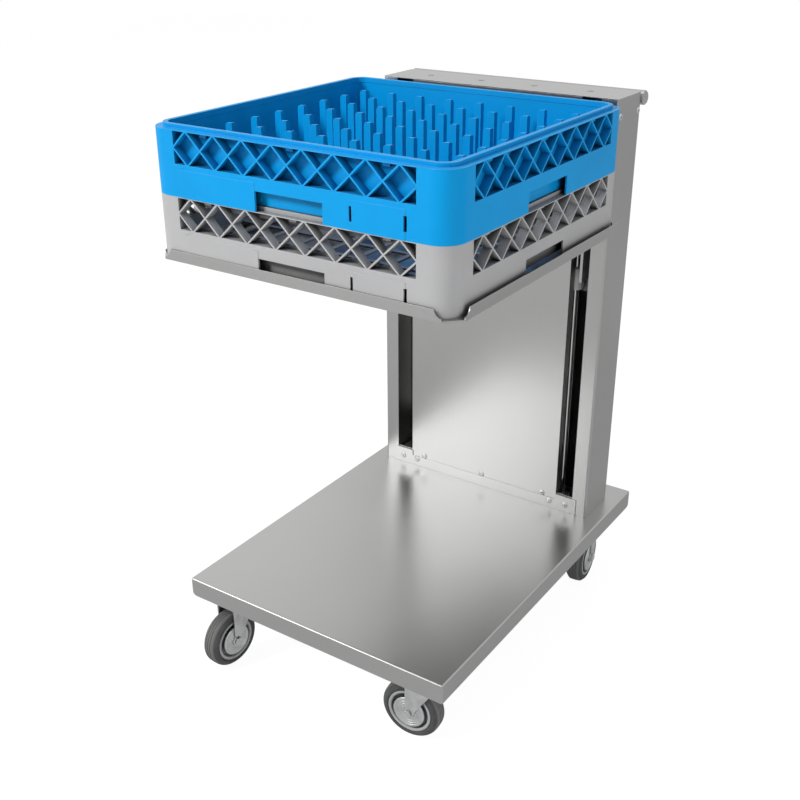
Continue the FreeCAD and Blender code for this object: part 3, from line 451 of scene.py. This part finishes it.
def smooth_by_angle():
    """A modifier tree that smooths every face and keeps an edge sharp where it turns far enough."""
    if "Smooth by turn" in bpy.data.node_groups:
        return bpy.data.node_groups["Smooth by turn"]
    tree = bpy.data.node_groups.new("Smooth by turn", "GeometryNodeTree")
    tree.interface.new_socket("Geometry", in_out="INPUT", socket_type="NodeSocketGeometry")
    tree.interface.new_socket("Geometry", in_out="OUTPUT", socket_type="NodeSocketGeometry")
    given = tree.nodes.new("NodeGroupInput")
    out = tree.nodes.new("NodeGroupOutput")
    bare = add_node(tree, "GeometryNodeRemoveAttribute",
                    {"Geometry": given.outputs[0], "Name": "custom_normal"})
    faces = add_node(tree, "GeometryNodeSetShadeSmooth", {0: bare.outputs[0], "Shade Smooth": True},
                     domain="FACE")
    turn = add_node(tree, "GeometryNodeInputMeshEdgeAngle").outputs["Unsigned Angle"]
    gentle = add_node(tree, "FunctionNodeCompare", {0: turn, 1: SHARP_IN_SOLIDS},
                      data_type="FLOAT", operation="LESS_THAN").outputs["Result"]
    edges = add_node(tree, "GeometryNodeSetShadeSmooth", {0: faces.outputs[0], "Shade Smooth": gentle},
                     domain="EDGE")
    tree.links.new(edges.outputs[0], out.inputs[0])
    return tree


def dress(node, material, edge):
    """Gives a solid of the model its finish, and rounds its edges by modifiers alone."""
    solid = frame["nodes"][node]
    if not solid.material_slots:
        solid.data.materials.append(material)
    for slot in solid.material_slots:
        slot.material = material
    weld = solid.modifiers.new("Join corners", "WELD")
    weld.merge_threshold = MERGE_DISTANCE
    if edge > 0:
        bevel = solid.modifiers.new("Round edges", "BEVEL")
        bevel.width = edge
        bevel.segments = 3
        bevel.limit_method = "ANGLE"
        bevel.angle_limit = ROUNDED_FROM
        bevel.use_clamp_overlap = False
        bevel.loop_slide = False
        bevel.miter_outer = "MITER_ARC"
        bevel.face_strength_mode = "FSTR_ALL"
    smooth = solid.modifiers.new("Smooth by turn", "NODES")
    smooth.node_group = smooth_by_angle()
    normals = solid.modifiers.new("Face normals", "WEIGHTED_NORMAL")
    normals.keep_sharp = True
    normals.use_face_influence = edge > 0
    return solid


def islands(node):
    """The lowest and highest corners of each separate solid in a node, in order of place."""
    work = bmesh.new()
    work.from_mesh(frame["nodes"][node].data)
    bmesh.ops.remove_doubles(work, verts=work.verts, dist=MERGE_DISTANCE)
    left = set(work.verts)
    boxes = []
    while left:
        queue = [left.pop()]
        found = []
        while queue:
            vertex = queue.pop()
            found.append(vertex.co.copy())
            for edge in vertex.link_edges:
                other = edge.other_vert(vertex)
                if other in left:
                    left.remove(other)
                    queue.append(other)
        low = Vector([min(co[i] for co in found) for i in range(3)])
        high = Vector([max(co[i] for co in found) for i in range(3)])
        boxes.append((low, high))
    work.free()
    return sorted(boxes, key=lambda pair: [round(part, 4) for part in (pair[0] + pair[1]) / 2])


def new_piece(name, work, material, body=None, place=None):
    """An object from a work mesh, shaded smooth up to sharp edges, with its finish and its body."""
    bmesh.ops.recalc_face_normals(work, faces=work.faces)
    mesh = bpy.data.meshes.new(name)
    work.to_mesh(mesh)
    work.free()
    mesh.shade_smooth()
    mesh.set_sharp_from_angle(angle=SHARP_IN_PIECES)
    mesh.materials.append(material)
    piece = bpy.data.objects.new(name, mesh)
    bpy.context.scene.collection.objects.link(piece)
    if place is not None:
        piece.matrix_world = place
    if body:
        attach(piece, body)
    return piece


def rounded(points, steps=5):
    """A closed outline from (radius, along, rounding) corners, each rounding drawn as a short curve."""
    outline = []
    count = len(points)
    most = 0.48
    for i, (radius, along, soft) in enumerate(points):
        here = Vector((radius, along))
        before = Vector(points[i - 1][:2]) - here
        after = Vector(points[(i + 1) % count][:2]) - here
        reach = min(soft, most * before.length, most * after.length)
        if reach <= 0:
            outline.append(here)
            continue
        start = here + before.normalized() * reach
        end = here + after.normalized() * reach
        for step in range(steps + 1):
            t = step / steps
            outline.append((1 - t) ** 2 * start + 2 * t * (1 - t) * here + t ** 2 * end)
    return outline


def lathe(work, outline, segments=96):
    """Turns a closed outline of (radius, along) points about the local Z axis."""
    rings = []
    for i in range(segments):
        angle = 2 * math.pi * i / segments
        cosine, sine = math.cos(angle), math.sin(angle)
        rings.append([work.verts.new((point[0] * cosine, point[0] * sine, point[1])) for point in outline])
    count = len(outline)
    for i, ring in enumerate(rings):
        following = rings[(i + 1) % segments]
        for j in range(count):
            k = (j + 1) % count
            work.faces.new((ring[j], ring[k], following[k], following[j]))


def tube(work, points, radius, sides=8):
    """A round tube along a list of points, closed at both ends."""
    tangents = []
    for i in range(len(points)):
        step = points[min(i + 1, len(points) - 1)] - points[max(i - 1, 0)]
        tangents.append(step.normalized())
    side = tangents[0].orthogonal().normalized()
    turns = [2 * math.pi * i / sides for i in range(sides)]
    rings = []
    for point, tangent in zip(points, tangents):
        side = (side - tangent * side.dot(tangent)).normalized()
        other = tangent.cross(side)
        ring = [point + radius * (math.cos(turn) * side + math.sin(turn) * other) for turn in turns]
        rings.append([work.verts.new(corner) for corner in ring])
    for ring, following in zip(rings, rings[1:]):
        for j in range(sides):
            k = (j + 1) % sides
            work.faces.new((ring[j], ring[k], following[k], following[j]))
    work.faces.new(rings[0])
    work.faces.new(rings[-1])


def measured(node, centre, axis):
    """Least and greatest distance of a node's points along an axis, and from it."""
    along = []
    away = []
    for vertex in frame["nodes"][node].data.vertices:
        offset = vertex.co - centre
        height = offset.dot(axis)
        along.append(height)
        away.append((offset - axis * height).length)
    return min(along), max(along), min(away), max(away)


# Sheet metal

class TROLLEY_OT_sheet_metal(bpy.types.Operator):
    """Finish the base pan, its channels and the sheets of the column"""
    bl_idname = "trolley.sheet_metal"
    bl_label = "Sheet metal"

    def execute(self, context):
        sizes = context.scene.trolley_sizes
        steel = context.scene.trolley_colours.steel
        grain = {"base_platform": "Y", "base_channel_front": "X", "base_channel_rear": "X",
                 "column_shell": "Z", "column_front_panel": "Z", "column_foot": "X",
                 "column_foot_rail": "X", "column_cap": "X"}
        for node, along in grain.items():
            dress(node, brushed_steel("Brushed steel along " + along, steel, along), sizes.sheet_edge)
        return {"FINISHED"}


class TROLLEY_OT_push_bar(bpy.types.Operator):
    """Finish the push bar and its end plugs"""
    bl_idname = "trolley.push_bar"
    bl_label = "Push bar"

    def execute(self, context):
        sizes = context.scene.trolley_sizes
        colours = context.scene.trolley_colours
        dress("push_bar", brushed_steel("Brushed steel along X", colours.steel, "X"), sizes.sheet_edge)
        dress("push_bar_plugs", moulded_plastic("End plug plastic", colours.plug), sizes.forged_edge)
        return {"FINISHED"}


# Lift

class TROLLEY_OT_lift(bpy.types.Operator):
    """Finish the rods, blocks, stops, carriage, arms and tray"""
    bl_idname = "trolley.lift"
    bl_label = "Lift and tray"

    def execute(self, context):
        sizes = context.scene.trolley_sizes
        colours = context.scene.trolley_colours
        across = brushed_steel("Brushed steel along X", colours.steel, "X")
        lengthwise = brushed_steel("Brushed steel along Y", colours.steel, "Y")
        for node in ("spring_hanger_rail", "carriage_plate", "carrier_tray"):
            dress(node, across, sizes.sheet_edge)
        for node in ("carrier_arm_left", "carrier_arm_right"):
            dress(node, lengthwise, sizes.forged_edge)
        for node in ("guide_rod_left", "guide_rod_right"):
            dress(node, ground_rod("Chromed rod", colours.chrome), 0)
        for node in ("upper_buffers", "lower_buffers"):
            dress(node, rubber("Buffer rubber", colours.rubber), sizes.forged_edge)
        dress("rod_blocks", plated("Zinc plate", colours.zinc), sizes.forged_edge)
        dress("slide_bushes", moulded_plastic("Bush plastic", colours.bush), sizes.forged_edge)
        return {"FINISHED"}


class TROLLEY_OT_springs(bpy.types.Operator):
    """Wind the lift springs between the hanger rail and the carriage"""
    bl_idname = "trolley.springs"
    bl_label = "Lift springs"
    points_in_turn = 12
    wire_sides = 6
    leg_share = 0.4

    def route(self, low, high, turns, wire):
        """The middle of the wire: a straight leg, a coil that opens and closes, and a straight leg."""
        centre = (low + high) / 2
        width = high.x - low.x
        radius = (width - wire) / 2
        leg = self.leg_share * width
        coil_low = low.z + leg
        coil_high = high.z - leg
        count = turns * self.points_in_turn
        points = [Vector((centre.x, centre.y, high.z))]
        for i in range(count + 1):
            share = i / count
            angle = 2 * math.pi * turns * share
            ends = min(1.0, turns * share, turns * (1 - share))
            reach = radius * ends * ends * (3 - 2 * ends)
            points.append(Vector((centre.x + reach * math.cos(angle), centre.y + reach * math.sin(angle),
                                  coil_high + share * (coil_low - coil_high))))
        points.append(Vector((centre.x, centre.y, low.z)))
        return points

    def execute(self, context):
        sizes = context.scene.trolley_sizes
        work = bmesh.new()
        for low, high in islands("lift_springs"):
            route = self.route(low, high, sizes.spring_turns, sizes.spring_wire)
            tube(work, route, sizes.spring_wire / 2, self.wire_sides)
        steel = plated("Spring steel", context.scene.trolley_colours.spring, rough=0.28)
        piece = new_piece("spring_coils", work, steel)
        low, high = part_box("lift_springs")
        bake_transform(piece)
        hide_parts("lift_springs")
        return {"FINISHED"}


# Racks

class TROLLEY_OT_racks(bpy.types.Operator):
    """Finish the open rack, the peg rack and its pegs"""
    bl_idname = "trolley.racks"
    bl_label = "Racks"

    def execute(self, context):
        sizes = context.scene.trolley_sizes
        colours = context.scene.trolley_colours
        # Painted shade: the open rack's inside is darkened strongly, as if shaded by the peg rack above;
        # the peg rack's hollows less.
        grey = moulded_plastic("Grey rack plastic", colours.rack_grey, reach=0.20, closed=0.12, dark=0.08)
        dress("lower_rack", grey, sizes.rack_edge)
        blue = moulded_plastic("Blue rack plastic", colours.rack_blue, dark=0.25)
        dress("upper_rack", blue, sizes.rack_edge)
        dress("upper_rack_pegs", blue, sizes.rack_edge)
        return {"FINISHED"}


# Fasteners

class TROLLEY_OT_fasteners(bpy.types.Operator):
    """Model the small cross-head screws, and finish the bolts"""
    bl_idname = "trolley.fasteners"
    bl_label = "Fasteners"
    sides = 28
    head_height = 0.0012
    flush_depth = 0.0015

    def head(self, work, place, profile):
        """A screw head turned from (radius, height) points, bottom first, with a cross in its top."""
        turns = [2 * math.pi * i / self.sides for i in range(self.sides)]
        rings = []
        for radius, height in profile:
            ring = [Vector((radius * math.cos(turn), radius * math.sin(turn), height)) for turn in turns]
            rings.append([work.verts.new(place @ corner) for corner in ring])
        for ring, following in zip(rings, rings[1:]):
            for j in range(self.sides):
                k = (j + 1) % self.sides
                work.faces.new((ring[j], ring[k], following[k], following[j]))
        work.faces.new(rings[0])
        top_radius, top = profile[-1]
        arm = 0.78 * top_radius
        half = 0.17 * top_radius
        depth = 0.55 * top_radius
        taper = 0.7
        corner = [(arm, -half), (arm, half), (half, half)]
        outline = []
        for quarter in range(4):
            turn = Matrix.Rotation(quarter * math.pi / 2, 2)
            outline += [turn @ Vector(point) for point in corner]
        upper = [work.verts.new(place @ Vector((p.x, p.y, top))) for p in outline]
        lower = [work.verts.new(place @ Vector((taper * p.x, taper * p.y, top - depth))) for p in outline]
        count = len(outline)
        rim = [work.edges.new((upper[i], upper[(i + 1) % count])) for i in range(count)]
        outer = [work.edges.get((rings[-1][i], rings[-1][(i + 1) % self.sides])) for i in range(self.sides)]
        bmesh.ops.triangle_fill(work, use_beauty=True, use_dissolve=False, edges=rim + outer)
        for i in range(count):
            k = (i + 1) % count
            work.faces.new((upper[i], upper[k], lower[k], lower[i]))
        work.faces.new(lower)

    def button(self, radius, height, sink):
        """A low rounded head that stands on its sheet, with a stub below it."""
        stub = 0.5 * radius
        flat = 0.52 * radius
        steps = 6
        profile = [(stub, -sink), (stub, 0.0), (radius, 0.0)]
        for i in range(1, steps + 1):
            angle = math.pi / 2 * i / steps
            profile.append((flat + (radius - flat) * math.cos(angle), height * math.sin(angle)))
        return profile

    def flush(self, radius, depth):
        """A countersunk head whose top lies level with its sheet."""
        foot = 0.55 * radius
        shoulder = 0.97 * radius
        top = 0.93 * radius
        chamfer = 0.08 * depth
        return [(foot, -depth), (shoulder, -chamfer), (top, 0.0)]

    def screws(self, node, outward, proud, material):
        """All the screws of a node as one piece; proud is the head's height, or zero for a flush head."""
        work = bmesh.new()
        for low, high in islands(node):
            middle = (low + high) / 2
            out = outward(middle)
            extent = high - low
            radius = min(extent.dot(Vector(map(abs, axis))) / 2
                         for axis in (out.orthogonal(), out.cross(out.orthogonal())))
            length = abs(extent.dot(out))
            top = middle + out * (length / 2)
            base = top - out * proud
            place = Matrix.Translation(base) @ out.to_track_quat("Z", "Y").to_matrix().to_4x4()
            if proud:
                profile = self.button(radius, proud, length - proud)
            else:
                profile = self.flush(radius, self.flush_depth)
            self.head(work, place, profile)
        piece = new_piece("cross_head_" + node, work, material, "cart")
        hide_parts(node)

    def execute(self, context):
        sizes = context.scene.trolley_sizes
        zinc = plated("Zinc plate", context.scene.trolley_colours.zinc)
        forward = Vector((0, -1, 0))
        self.screws("cap_screws", lambda middle: UP, 0.0, zinc)
        self.screws("side_screws", lambda middle: Vector((math.copysign(1, middle.x), 0, 0)),
                    self.head_height, zinc)
        self.screws("foot_rail_screws", lambda middle: forward, self.head_height, zinc)
        self.screws("panel_screws", lambda middle: forward, self.head_height, zinc)
        for node in ("push_bar_screws", "column_bolts", "caster_bolts", "caster_kingpins", "tray_bolts"):
            dress(node, zinc, sizes.sheet_edge)
        return {"FINISHED"}


# Casters

class TROLLEY_OT_casters(bpy.types.Operator):
    """Model tyres, rims and guard discs, and finish forks, axles and top plates"""
    bl_idname = "trolley.casters"
    bl_label = "Casters"
    guard_segments = 72

    def tyre(self, corner, centre, axis, sizes):
        """The outline of a tyre: a grooved tread, round shoulders and beads that hold the rim."""
        _, high, inner, outer = measured("wheel_tyre_" + corner, centre, axis)
        off_floor = 0.0002
        crown = 0.0007
        depth = 0.0009
        bead = 0.0012
        soft = 0.0006
        outer -= off_floor
        flat = high - sizes.shoulder
        pitch = 2 * flat / (sizes.groove_count + 1)
        half = sizes.groove / 2
        tread = [(outer - crown, -flat, sizes.shoulder)]
        for i in range(sizes.groove_count):
            along = -flat + (i + 1) * pitch
            top = outer - crown * (along / flat) ** 2
            tread += [(top, along - half, soft), (top - depth, along - half, soft),
                      (top - depth, along + half, soft), (top, along + half, soft)]
        tread.append((outer - crown, flat, sizes.shoulder))
        side = [(outer - 1.2 * sizes.shoulder, high, sizes.shoulder), (inner + 2.5 * bead, high, bead),
                (inner + 2 * bead, high - bead, bead / 2), (inner, high - bead, 0.0)]
        return tread + side + [(r, -a, s) for r, a, s in reversed(side)]

    def rim(self, corner, centre, axis):
        """The outline of a rim: a lip inside the tyre, a sunk web and a barrel round the axle."""
        _, high, inner, outer = measured("wheel_hub_" + corner, centre, axis)
        tyre_high = measured("wheel_tyre_" + corner, centre, axis)[1]
        lip = 0.0050
        lip_crest = 0.0006
        lip_foot = 0.0004
        lip_slope = 0.0012
        lip_drop = 0.0035
        barrel = 0.0110
        barrel_slope = 0.0010
        web = tyre_high - 2 * lip
        web_soft = 0.0020
        soft = 0.0008
        side = [(outer, tyre_high - lip_foot, 0.0), (outer - lip_slope, tyre_high + lip_crest, soft),
                (outer - lip + lip_crest, tyre_high - lip_foot, soft),
                (outer - lip, tyre_high - lip_drop, soft), (outer - lip - lip_slope, web, web_soft),
                (barrel + barrel_slope, web, web_soft), (barrel, high, soft), (inner, high, 0.0)]
        return side + [(r, -a, s) for r, a, s in reversed(side)]

    def guard(self, corner, centre, axis):
        """The outline of one guard disc: a shallow cup with rings sunk into its face."""
        _, high, inner, outer = measured("caster_guards_" + corner, centre, axis)
        skirt = 0.0034
        skirt_sheet = 0.0010
        face_sheet = 0.0018
        bend = 0.0012
        bend_drop = 0.0014
        soft = 0.0005
        sunk = 0.0005
        rings = 3
        start = 0.44 * outer
        step = (0.90 * outer - start) / rings
        face = [(inner, high, 0.0)]
        for i in range(rings):
            near = start + i * step
            face += [(near, high, soft), (near + 0.12 * step, high - sunk, soft),
                     (near + 0.52 * step, high - sunk, soft), (near + 0.64 * step, high, soft)]
        face += [(outer - bend, high, bend), (outer, high - bend_drop, bend)]
        back = [(outer, high - skirt, soft), (outer - skirt_sheet, high - skirt, soft),
                (outer - skirt_sheet, high - face_sheet, soft), (inner, high - face_sheet, 0.0)]
        return face + back

    def execute(self, context):
        sizes = context.scene.trolley_sizes
        colours = context.scene.trolley_colours
        zinc = plated("Zinc plate", colours.zinc)
        rim_plastic = moulded_plastic("Rim plastic", colours.rim, rough=0.40)
        joint = JOINTS["roll_" + CORNERS[0]]
        radius = measured("wheel_tyre_" + CORNERS[0], Vector(joint["pos_m"]), Vector(joint["axis"]))[3]
        tyre_rubber = rubber("Tyre rubber", colours.tyre, tread=radius - sizes.shoulder / 3)
        for corner in CORNERS:
            joint = JOINTS["roll_" + corner]
            centre = Vector(joint["pos_m"])
            axis = Vector(joint["axis"]).normalized()
            place = Matrix.Translation(centre) @ axis.to_track_quat("Z", "Y").to_matrix().to_4x4()
            work = bmesh.new()
            lathe(work, rounded(self.tyre(corner, centre, axis, sizes), steps=6))
            tyre = new_piece("tyre_" + corner, work, tyre_rubber, "wheel_" + corner, place)
            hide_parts("wheel_tyre_" + corner)
            work = bmesh.new()
            lathe(work, rounded(self.rim(corner, centre, axis), steps=3))
            rim = new_piece("rim_" + corner, work, rim_plastic, "wheel_" + corner, place)
            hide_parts("wheel_hub_" + corner)
            work = bmesh.new()
            outline = rounded(self.guard(corner, centre, axis), steps=3)
            lathe(work, outline, self.guard_segments)
            lathe(work, [Vector((point[0], -point[1])) for point in outline], self.guard_segments)
            guards = new_piece("guard_discs_" + corner, work, zinc, "fork_" + corner, place)
            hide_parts("caster_guards_" + corner)
            for part in ("caster_plate_", "caster_fork_", "caster_axle_"):
                dress(part + corner, zinc, sizes.forged_edge)
        return {"FINISHED"}


# Stage

class TROLLEY_OT_stage(bpy.types.Operator):
    """Set up the pale floor, the soft lights and the camera"""
    bl_idname = "trolley.stage"
    bl_label = "Stage"
    matt_light = 0.30
    mirrored_light = 0.79
    shown_light = 1.0
    floor_reach = 8.0
    floor_gap = 0.0005

    def rays(self, tree):
        """One for rays from the camera or through glass, and one for rays off gloss."""
        path = add_node(tree, "ShaderNodeLightPath")
        straight = add_node(tree, "ShaderNodeMath",
                            {0: path.outputs["Is Camera Ray"], 1: path.outputs["Is Transmission Ray"]},
                            operation="MAXIMUM")
        return straight.outputs[0], path.outputs["Is Glossy Ray"]

    def glowing_paper(self, tree, colour, strength):
        """A diffuse sheet with some light of its own."""
        sheet = add_node(tree, "ShaderNodeBsdfDiffuse", {"Color": (colour, colour, colour, 1.0)})
        glow = add_node(tree, "ShaderNodeEmission", {"Color": (1.0, 1.0, 1.0, 1.0), "Strength": strength})
        return add_node(tree, "ShaderNodeAddShader", {0: sheet.outputs[0], 1: glow.outputs[0]}).outputs[0]

    def world(self, scene):
        """White behind the trolley, and softer light for what the surfaces gather and mirror."""
        world = bpy.data.worlds.new("Studio")
        scene.world = world
        world.use_nodes = True
        tree = world.node_tree
        tree.nodes.clear()
        white = (1.0, 1.0, 1.0, 1.0)
        cool = (0.98, 0.99, 1.0, 1.0)
        gathered, mirrored, shown = [
            add_node(tree, "ShaderNodeBackground", {"Color": colour, "Strength": strength}).outputs[0]
            for colour, strength in ((cool, self.matt_light), (white, self.mirrored_light),
                                     (white, self.shown_light))]
        straight, glossy = self.rays(tree)
        around = add_node(tree, "ShaderNodeMixShader", {0: glossy, 1: gathered, 2: mirrored}).outputs[0]
        sky = add_node(tree, "ShaderNodeMixShader", {0: straight, 1: around, 2: shown}).outputs[0]
        add_node(tree, "ShaderNodeOutputWorld", {"Surface": sky})

    def floor(self, scene):
        """A pale sheet that keeps the trolley's soft shadow."""
        reach = self.floor_reach
        work = bmesh.new()
        corners = [(-reach, -reach), (reach, -reach), (reach, reach), (-reach, reach)]
        work.faces.new([work.verts.new((x, y, -self.floor_gap)) for x, y in corners])
        mesh = bpy.data.meshes.new("floor")
        work.to_mesh(mesh)
        work.free()
        floor = bpy.data.objects.new("floor", mesh)
        scene.collection.objects.link(floor)
        material = bpy.data.materials.new("Pale floor")
        material.use_nodes = True
        tree = material.node_tree
        tree.nodes.clear()
        straight, glossy = self.rays(tree)
        paper = add_node(tree, "ShaderNodeBsdfDiffuse", {"Color": (0.80, 0.80, 0.80, 1.0)}).outputs[0]
        mirrored = add_node(tree, "ShaderNodeMixShader",
                            {0: glossy, 1: paper,
                             2: self.glowing_paper(tree, colour=0.34, strength=0.29)}).outputs[0]
        shown = add_node(tree, "ShaderNodeMixShader",
                         {0: straight, 1: mirrored,
                          2: self.glowing_paper(tree, colour=0.14, strength=0.95)}).outputs[0]
        add_node(tree, "ShaderNodeOutputMaterial", {"Surface": shown})
        mesh.materials.append(material)

    def lamp(self, scene, name, place, target, size, watts, in_gloss=True, on_matt=True):
        """A soft square lamp that may be left out of glossy or of matt surfaces."""
        light = bpy.data.lights.new(name, "AREA")
        light.size = size
        light.energy = watts
        lamp = bpy.data.objects.new(name, light)
        lamp.location = place
        lamp.rotation_euler = (Vector(target) - Vector(place)).to_track_quat("-Z", "Y").to_euler()
        lamp.visible_glossy = in_gloss
        lamp.visible_diffuse = on_matt
        scene.collection.objects.link(lamp)

    def camera(self, scene):
        """The camera at the photograph's own place and angle."""
        azimuth = math.radians(33.95)
        elevation = math.radians(25.17)
        roll = math.radians(-0.18)
        eye = Vector((0.8880, -1.3971, 1.2003))
        back = Vector((math.sin(azimuth) * math.cos(elevation), -math.cos(azimuth) * math.cos(elevation),
                       math.sin(elevation)))
        right = Vector((math.cos(azimuth), math.sin(azimuth), 0))
        up = back.cross(right)
        level = Matrix((right, up, back)).transposed()
        data = bpy.data.cameras.new("camera")
        data.sensor_width = 36.0
        data.lens = 48.97
        camera = bpy.data.objects.new("camera", data)
        camera.matrix_world = Matrix.Translation(eye) @ level.to_4x4() @ Matrix.Rotation(roll, 4, "Z")
        scene.collection.objects.link(camera)
        scene.camera = camera

    def execute(self, context):
        scene = context.scene
        scene.view_settings.view_transform = "Standard"
        self.world(scene)
        self.floor(scene)
        self.lamp(scene, "key", place=(-2.25, -3.5, 3.6), target=(0, 0, 0.6), size=1.2, watts=205.0,
                  in_gloss=False)
        self.lamp(scene, "softbox", place=(-1.8, -2.5, 1.65), target=(0, 0, 0.4), size=1.6, watts=33.0,
                  on_matt=False)
        self.lamp(scene, "fill", place=(2.4, -0.8, 0.45), target=(0, 0, 0.6), size=1.6, watts=22.0,
                  in_gloss=False)
        self.lamp(scene, "top", place=(0.2, 0.4, 3.2), target=(0, 0, 0.5), size=2.0, watts=12.0)
        self.lamp(scene, "card", place=(-2.5, 1.8, 1.7), target=(0, 0, 0.2), size=1.6, watts=1.8)
        self.camera(scene)
        return {"FINISHED"}


OPERATORS = (TROLLEY_OT_stage, TROLLEY_OT_sheet_metal, TROLLEY_OT_push_bar, TROLLEY_OT_lift,
             TROLLEY_OT_springs, TROLLEY_OT_racks, TROLLEY_OT_fasteners, TROLLEY_OT_casters)


class TROLLEY_PT_sidebar(bpy.types.Panel):
    """The trolley's pieces, sizes and colours"""
    bl_idname = "TROLLEY_PT_sidebar"
    bl_label = "Rack trolley"
    bl_space_type = "VIEW_3D"
    bl_region_type = "UI"
    bl_category = "Trolley"

    def draw(self, context):
        column = self.layout.column(align=True)
        for operator in OPERATORS:
            column.operator(operator.bl_idname)
        for group in (context.scene.trolley_sizes, context.scene.trolley_colours):
            listed = self.layout.column()
            for name in group.__annotations__:
                listed.prop(group, name)


CLASSES = (TrolleySizes, TrolleyColours) + OPERATORS + (TROLLEY_PT_sidebar,)


def register():
    for made in CLASSES:
        bpy.utils.register_class(made)
    bpy.types.Scene.trolley_sizes = bpy.props.PointerProperty(type=TrolleySizes)
    bpy.types.Scene.trolley_colours = bpy.props.PointerProperty(type=TrolleyColours)


def unregister():
    del bpy.types.Scene.trolley_colours
    del bpy.types.Scene.trolley_sizes
    for made in reversed(CLASSES):
        bpy.utils.unregister_class(made)


def main():
    register()
    bpy.ops.trolley.stage()
    bpy.ops.trolley.sheet_metal()
    bpy.ops.trolley.push_bar()
    bpy.ops.trolley.lift()
    bpy.ops.trolley.springs()
    bpy.ops.trolley.racks()
    bpy.ops.trolley.fasteners()
    bpy.ops.trolley.casters()


if __name__ == "__main__":
    main()
